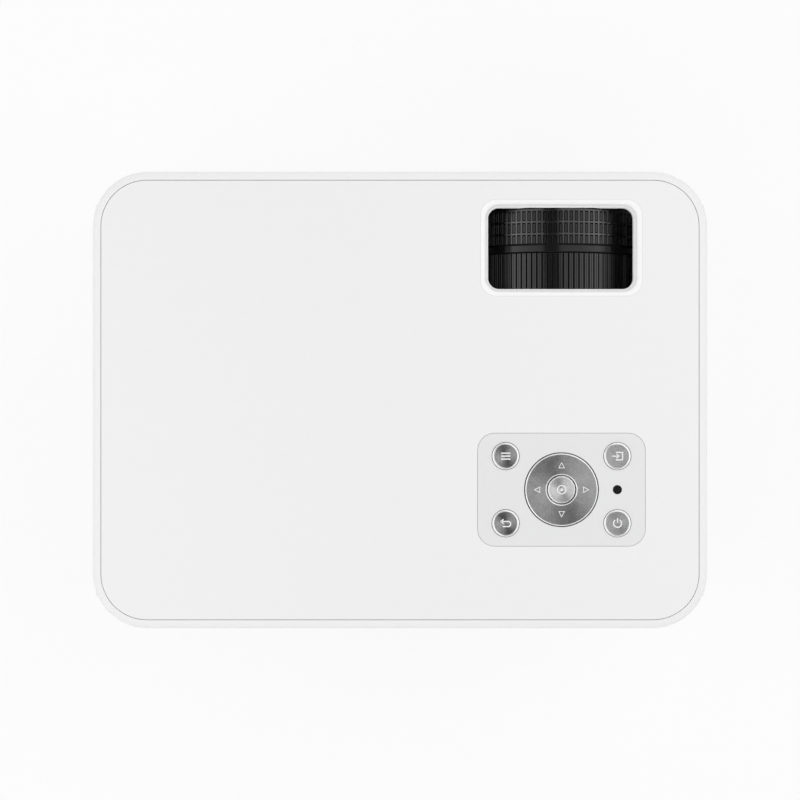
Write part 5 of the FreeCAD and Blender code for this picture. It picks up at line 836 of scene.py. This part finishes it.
def window_lip(outline):
    """An outline of (inset, Z) carried round the window, whose corners' radius is less by the inset.

    A point is middle + (half - corner) * (+-1, +-1) + (corner - inset) * (cos, sin)(angle), corner by corner.
    """
    inset, height = (np.array(outline).T * MM)[:, :, None]
    angle = np.arange(4)[:, None] * np.pi / 2 + np.linspace(0, np.pi / 2, CORNER_STEPS)
    side_x, side_y = np.array([[1, -1, -1, 1], [1, 1, -1, -1]])[:, :, None] + 0 * angle
    radius = WINDOW_CORNER - inset
    x = WINDOW_X + (side_x * (WINDOW_HALF[0] - WINDOW_CORNER)).ravel() + radius * np.cos(angle).ravel()
    y = WINDOW_Y + (side_y * (WINDOW_HALF[1] - WINDOW_CORNER)).ravel() + radius * np.sin(angle).ravel()
    return np.stack([x, y, height + 0 * x], -1), grid_faces(len(outline), angle.size, looped=True)


top_white = panel_with_painted_light()
dress(top_white, "top_panel")
put("window_lip", *window_lip(LIP), top_white, "chassis", "panel_white")


# ---------------------------------------------------------------- control plate and keys
# A thin metal plate, painted silver-grey, lies in the top panel. Five spun metal caps and a rocking
# ring come up through it; their edges are cut bright after the faces are spun. A round dark window
# beside them passes the remote control's light.

PLATE_TINT, OK_TINT, BRIGHT_TINT = (0.79, 0.79, 0.795), (0.90, 0.90, 0.905), (0.90, 0.90, 0.90)
DARK_TINT = (0.004, 0.0035, 0.004)
KEY_NODES = {
    "menu": "menu_button", "source": "source_button", "back": "back_button", "power": "power_button",
    "ok": "ok_button", "nav": "nav_ring",
}
CORNER_KEYS = ("menu", "source", "back", "power")
KEY_STEPS = 96
# A corner key's outline in millimetres: radius, and Z above its foot, or below its top for rim and face.
STEM = [(1.6, 0), (1.6, 1.2), (3.0, 1.2), (3.0, 2.5), (7.1, 2.5), (7.1, 3.5), (6.1, 3.5)]
RIM = [(6.1, -0.5), (5.98, -0.28), (5.75, -0.12), (5.35, -0.04)]
FACE = [(5.2, -0.1), (3.5, -0.115), (1.8, -0.122), (0.3, -0.125)]
# The rocking ring's bright edge: how far beyond the corner, and Z above the face, in millimetres.
EDGE = [
    (0.0, -0.62), (0.02, -0.48), (-0.10, -0.24), (-0.24, -0.10), (-0.45, 0.02), (-0.55, 0.02), (-0.55, -0.1),
]
NAV_OUTER, NAV_BORE = 16.5, 6.7


def turned(centre, outline, closed=False):
    """An outline of (radius, Z), turned about the centre's line along Z; flat faces close an open one."""
    angle = np.linspace(0, 2 * np.pi, KEY_STEPS, endpoint=False)
    radius, height = np.array(outline).T[:, :, None]
    x, y = centre[0] + radius * np.cos(angle), centre[1] + radius * np.sin(angle)
    points = np.stack([x, y, height + 0 * x], -1)
    if closed:
        return points, grid_faces(len(outline), KEY_STEPS, looped=True)
    return points, capped_faces(len(outline), KEY_STEPS)


def lifted(outline, level):
    """An outline in millimetres as metres, its heights counted from a level (m)."""
    return [(radius * MM, level + rise * MM) for radius, rise in outline]


def key_cap(key):
    """A turned cap on its stem, with a bright edge round a face that is dished by a few hundredths."""
    foot, middle, top = extent(KEY_NODES[key])
    outline = lifted(STEM, foot[2]) + lifted(RIM + FACE, top[2])
    cap = put(key + "_cap", *turned(middle, outline), key_metal, key + "_key", "key_metal",
              [key + "_button"], sharp=20)
    cap.data.materials.append(rim_bright)
    band = np.zeros(len(cap.data.polygons), int)
    band[len(STEM) * KEY_STEPS:(len(STEM + RIM) - 1) * KEY_STEPS] = 1
    cap.data.polygons.foreach_set("material_index", band)


def edge_ring(radius, side):
    """The bright edge over a corner at a radius: side is 1 on an outer edge and -1 round a bore."""
    middle, top = extent(KEY_NODES["nav"])[1:]
    outline = lifted([(radius + side * beyond, rise) for beyond, rise in EDGE], top[2])
    return turned(middle, outline[::side], closed=True)


plate_grey = grained("plate_grey", PLATE_TINT, rough=0.4, pitch=0.3 * MM, depth=0.003 * MM, mottle=0.008)
rim_bright = grained(
    "rim_bright", BRIGHT_TINT, rough=0.22, pitch=0.3 * MM, depth=0.001 * MM, sockets={"Metallic": 0.7}
)
window_dark = grained(
    "window_dark", DARK_TINT, rough=0.12, pitch=0.5 * MM, depth=0.001 * MM, mottle=0.1,
    sockets={"Specular IOR Level": 0.3},
)
dress(plate_grey, "control_plate")
dress(key_metal, "nav_ring")
dress(spun_metal("ok_metal", OK_TINT, rough=0.27), "ok_button")
dress(zinc_screw, "nav_spider")
dress(window_dark, "ir_window")
for key in CORNER_KEYS:
    key_cap(key)
put("nav_edge", *merged(edge_ring(NAV_OUTER, 1), edge_ring(NAV_BORE, -1)), rim_bright, "nav", "key_metal")


# ---------------------------------------------------------------- marks on the keys
# Pale raised prints: bars for the menu, a screen with an arrow for the source, a turned arrow for back,
# the usual open circle for power, a ring for confirm and four triangles round it.

MARK_PROUD = 0.09
MARK_STROKES = {"menu": 0.28, "source": 0.25, "back": 0.27, "power": 0.27, "ok": 0.24, "nav": 0.14}
TRIANGLE = [(1.4, 0), (-1.0, 1.25), (-1.0, -1.25), (1.4, 0)]
TRIANGLES_OUT = 10.9


def arc(radius, start, end, count=28, centre=(0, 0)):
    """Points on an arc between two angles in degrees, anticlockwise from the right."""
    angle = np.radians(np.linspace(start, end, count))
    return np.stack([centre[0] + radius * np.cos(angle), centre[1] + radius * np.sin(angle)], -1).tolist()


def turned_mark(quarter):
    """An outline triangle that points outwards, away from the middle in one of four directions."""
    path = np.array(TRIANGLE) + (TRIANGLES_OUT, 0)
    along = np.array([(1, 0), (0, 1), (-1, 0), (0, -1)][quarter])
    return path[:, :1] * along + path[:, 1:] * np.array([-along[1], along[0]])


# Paths in millimetres from each key's middle, to the right and up as read from behind the case.
MARKS = {
    "menu": [[(-2.1, level), (2.1, level)] for level in (1.35, 0, -1.35)],
    "source": [
        [(-0.8, 1.7), (2.3, 1.7), (2.3, -1.7), (-0.8, -1.7)],
        [(-2.5, 0), (0.3, 0)], [(-0.5, 0.95), (0.65, 0), (-0.5, -0.95)],
    ],
    "back": [
        [(-1.9, 0.85)] + arc(1.15, 90, -90, 14, centre=(1.1, -0.3)) + [(-1.4, -1.45)],
        [(-1.0, 1.8), (-2.15, 0.85), (-1.0, -0.1)],
    ],
    "power": [arc(1.8, 125, 415), [(0, 0.35), (0, 2.3)]],
    "ok": [arc(1.9, 0, 360), arc(0.35, 0, 360, 13)],
    "nav": [turned_mark(quarter) for quarter in range(4)],
}
for key, paths in MARKS.items():
    middle, top = extent(KEY_NODES[key])[1:]
    dish = FACE[-1][1] * MM if key in CORNER_KEYS else 0
    lines = strokes(paths, MARK_STROKES[key], (middle[0], middle[1], top[2] + dish),
                    right=(-1, 0, 0), up=(0, -1, 0), height=MARK_PROUD)
    put(key + "_mark", *lines, symbol_pale, key if key == "nav" else key + "_key", "key_metal")


# ---------------------------------------------------------------- floor, light and camera
# A pale floor, two soft boxes either side of the overhead view, and a pale room that is dark overhead.
# Part of the floor's white is a glow that only views and gloss see, so that it lights nothing.

FLOOR_REACH, FLOOR_TINT, GLOW_SHARE = 4.0, (0.88, 0.88, 0.88), 0.84
ROOM_BRIGHT, ROOM_DARK, BRIGHT_BELOW, DARK_ABOVE = 1.05, 0.03, 0.55, 0.92
BOX_AZIMUTHS, BOX_TILT, BOX_AWAY, BOX_AIM = {"box_left": 19, "box_right": 199}, 34, 1.25, 0.1
BOX_WIDTH, BOX_LENGTH, BOX_WATTS = 1.15, 1.5, 5.35
EYE_HEIGHT, EYE_FOCUS, EYE_SENSOR = 0.869, 75.85, 36.0


def pale_floor():
    """A white floor that keeps the shadow: its glow's share is GLOW_SHARE for views, gloss and glass."""
    finish = bpy.data.materials.new("pale_floor")
    finish.use_nodes = True
    tree = finish.node_tree
    tree.nodes.clear()
    rays = add_node(tree, "ShaderNodeLightPath").outputs
    seen = reckon(tree, "MAXIMUM", rays["Is Camera Ray"], rays["Is Glossy Ray"])
    through = reckon(tree, "MAXIMUM", seen, rays["Is Transmission Ray"])
    share = reckon(tree, "MULTIPLY", through, GLOW_SHARE)
    cloth = add_node(tree, "ShaderNodeBsdfDiffuse", {"Color": shade(FLOOR_TINT)}).outputs["BSDF"]
    glow = add_node(tree, "ShaderNodeEmission", {"Color": (1, 1, 1, 1), "Strength": 1.0}).outputs["Emission"]
    both = add_node(tree, "ShaderNodeMixShader", {0: share, 1: cloth, 2: glow})
    add_node(tree, "ShaderNodeOutputMaterial", {"Surface": both.outputs["Shader"]})
    return finish


def soft_box(name, azimuth):
    """A rectangular lamp at an azimuth, tilted from overhead, that faces the top of the case."""
    lamp = bpy.data.lights.new(name, "AREA")
    lamp.shape = "RECTANGLE"
    lamp.size, lamp.size_y = BOX_WIDTH, BOX_LENGTH
    lamp.energy = BOX_WATTS
    holder = bpy.data.objects.new(name, lamp)
    bpy.context.scene.collection.objects.link(holder)
    tilt, azimuth = math.radians(BOX_TILT), math.radians(azimuth)
    flat = math.sin(tilt) * BOX_AWAY
    holder.rotation_euler = (0, tilt, azimuth)
    holder.location = (
        flat * math.cos(azimuth), flat * math.sin(azimuth), BOX_AIM + math.cos(tilt) * BOX_AWAY
    )


floor_mesh = bpy.data.meshes.new("floor")
floor_corners = [(x * FLOOR_REACH, y * FLOOR_REACH, 0) for x, y in ((-1, -1), (1, -1), (1, 1), (-1, 1))]
floor_mesh.from_pydata(floor_corners, [], [(0, 1, 2, 3)])
floor_mesh.materials.append(pale_floor())
floor = bpy.data.objects.new("floor", floor_mesh)
bpy.context.scene.collection.objects.link(floor)

room = bpy.data.worlds.new("room")
bpy.context.scene.world = room
room.use_nodes = True
room_tree = room.node_tree
room_tree.nodes.clear()
way = add_node(room_tree, "ShaderNodeTexCoord").outputs["Generated"]
height = add_node(room_tree, "ShaderNodeSeparateXYZ", {"Vector": way}).outputs["Z"]
bright = add_node(room_tree, "ShaderNodeMapRange", {
    "Value": height, "From Min": BRIGHT_BELOW, "From Max": DARK_ABOVE,
    "To Min": ROOM_BRIGHT, "To Max": ROOM_DARK,
})
sky = add_node(room_tree, "ShaderNodeBackground", {
    "Color": (1, 1, 1, 1), "Strength": bright.outputs["Result"],
})
add_node(room_tree, "ShaderNodeOutputWorld", {"Surface": sky.outputs["Background"]})

for name, azimuth in BOX_AZIMUTHS.items():
    soft_box(name, azimuth)

view = bpy.data.cameras.new("view")
view.sensor_width = EYE_SENSOR
view.lens = EYE_FOCUS
eye = bpy.data.objects.new("view", view)
eye.location = (0, 0, EYE_HEIGHT)
eye.rotation_euler = (0, 0, math.pi)
bpy.context.scene.collection.objects.link(eye)
bpy.context.scene.camera = eye
bpy.context.scene.view_settings.view_transform = "Standard"
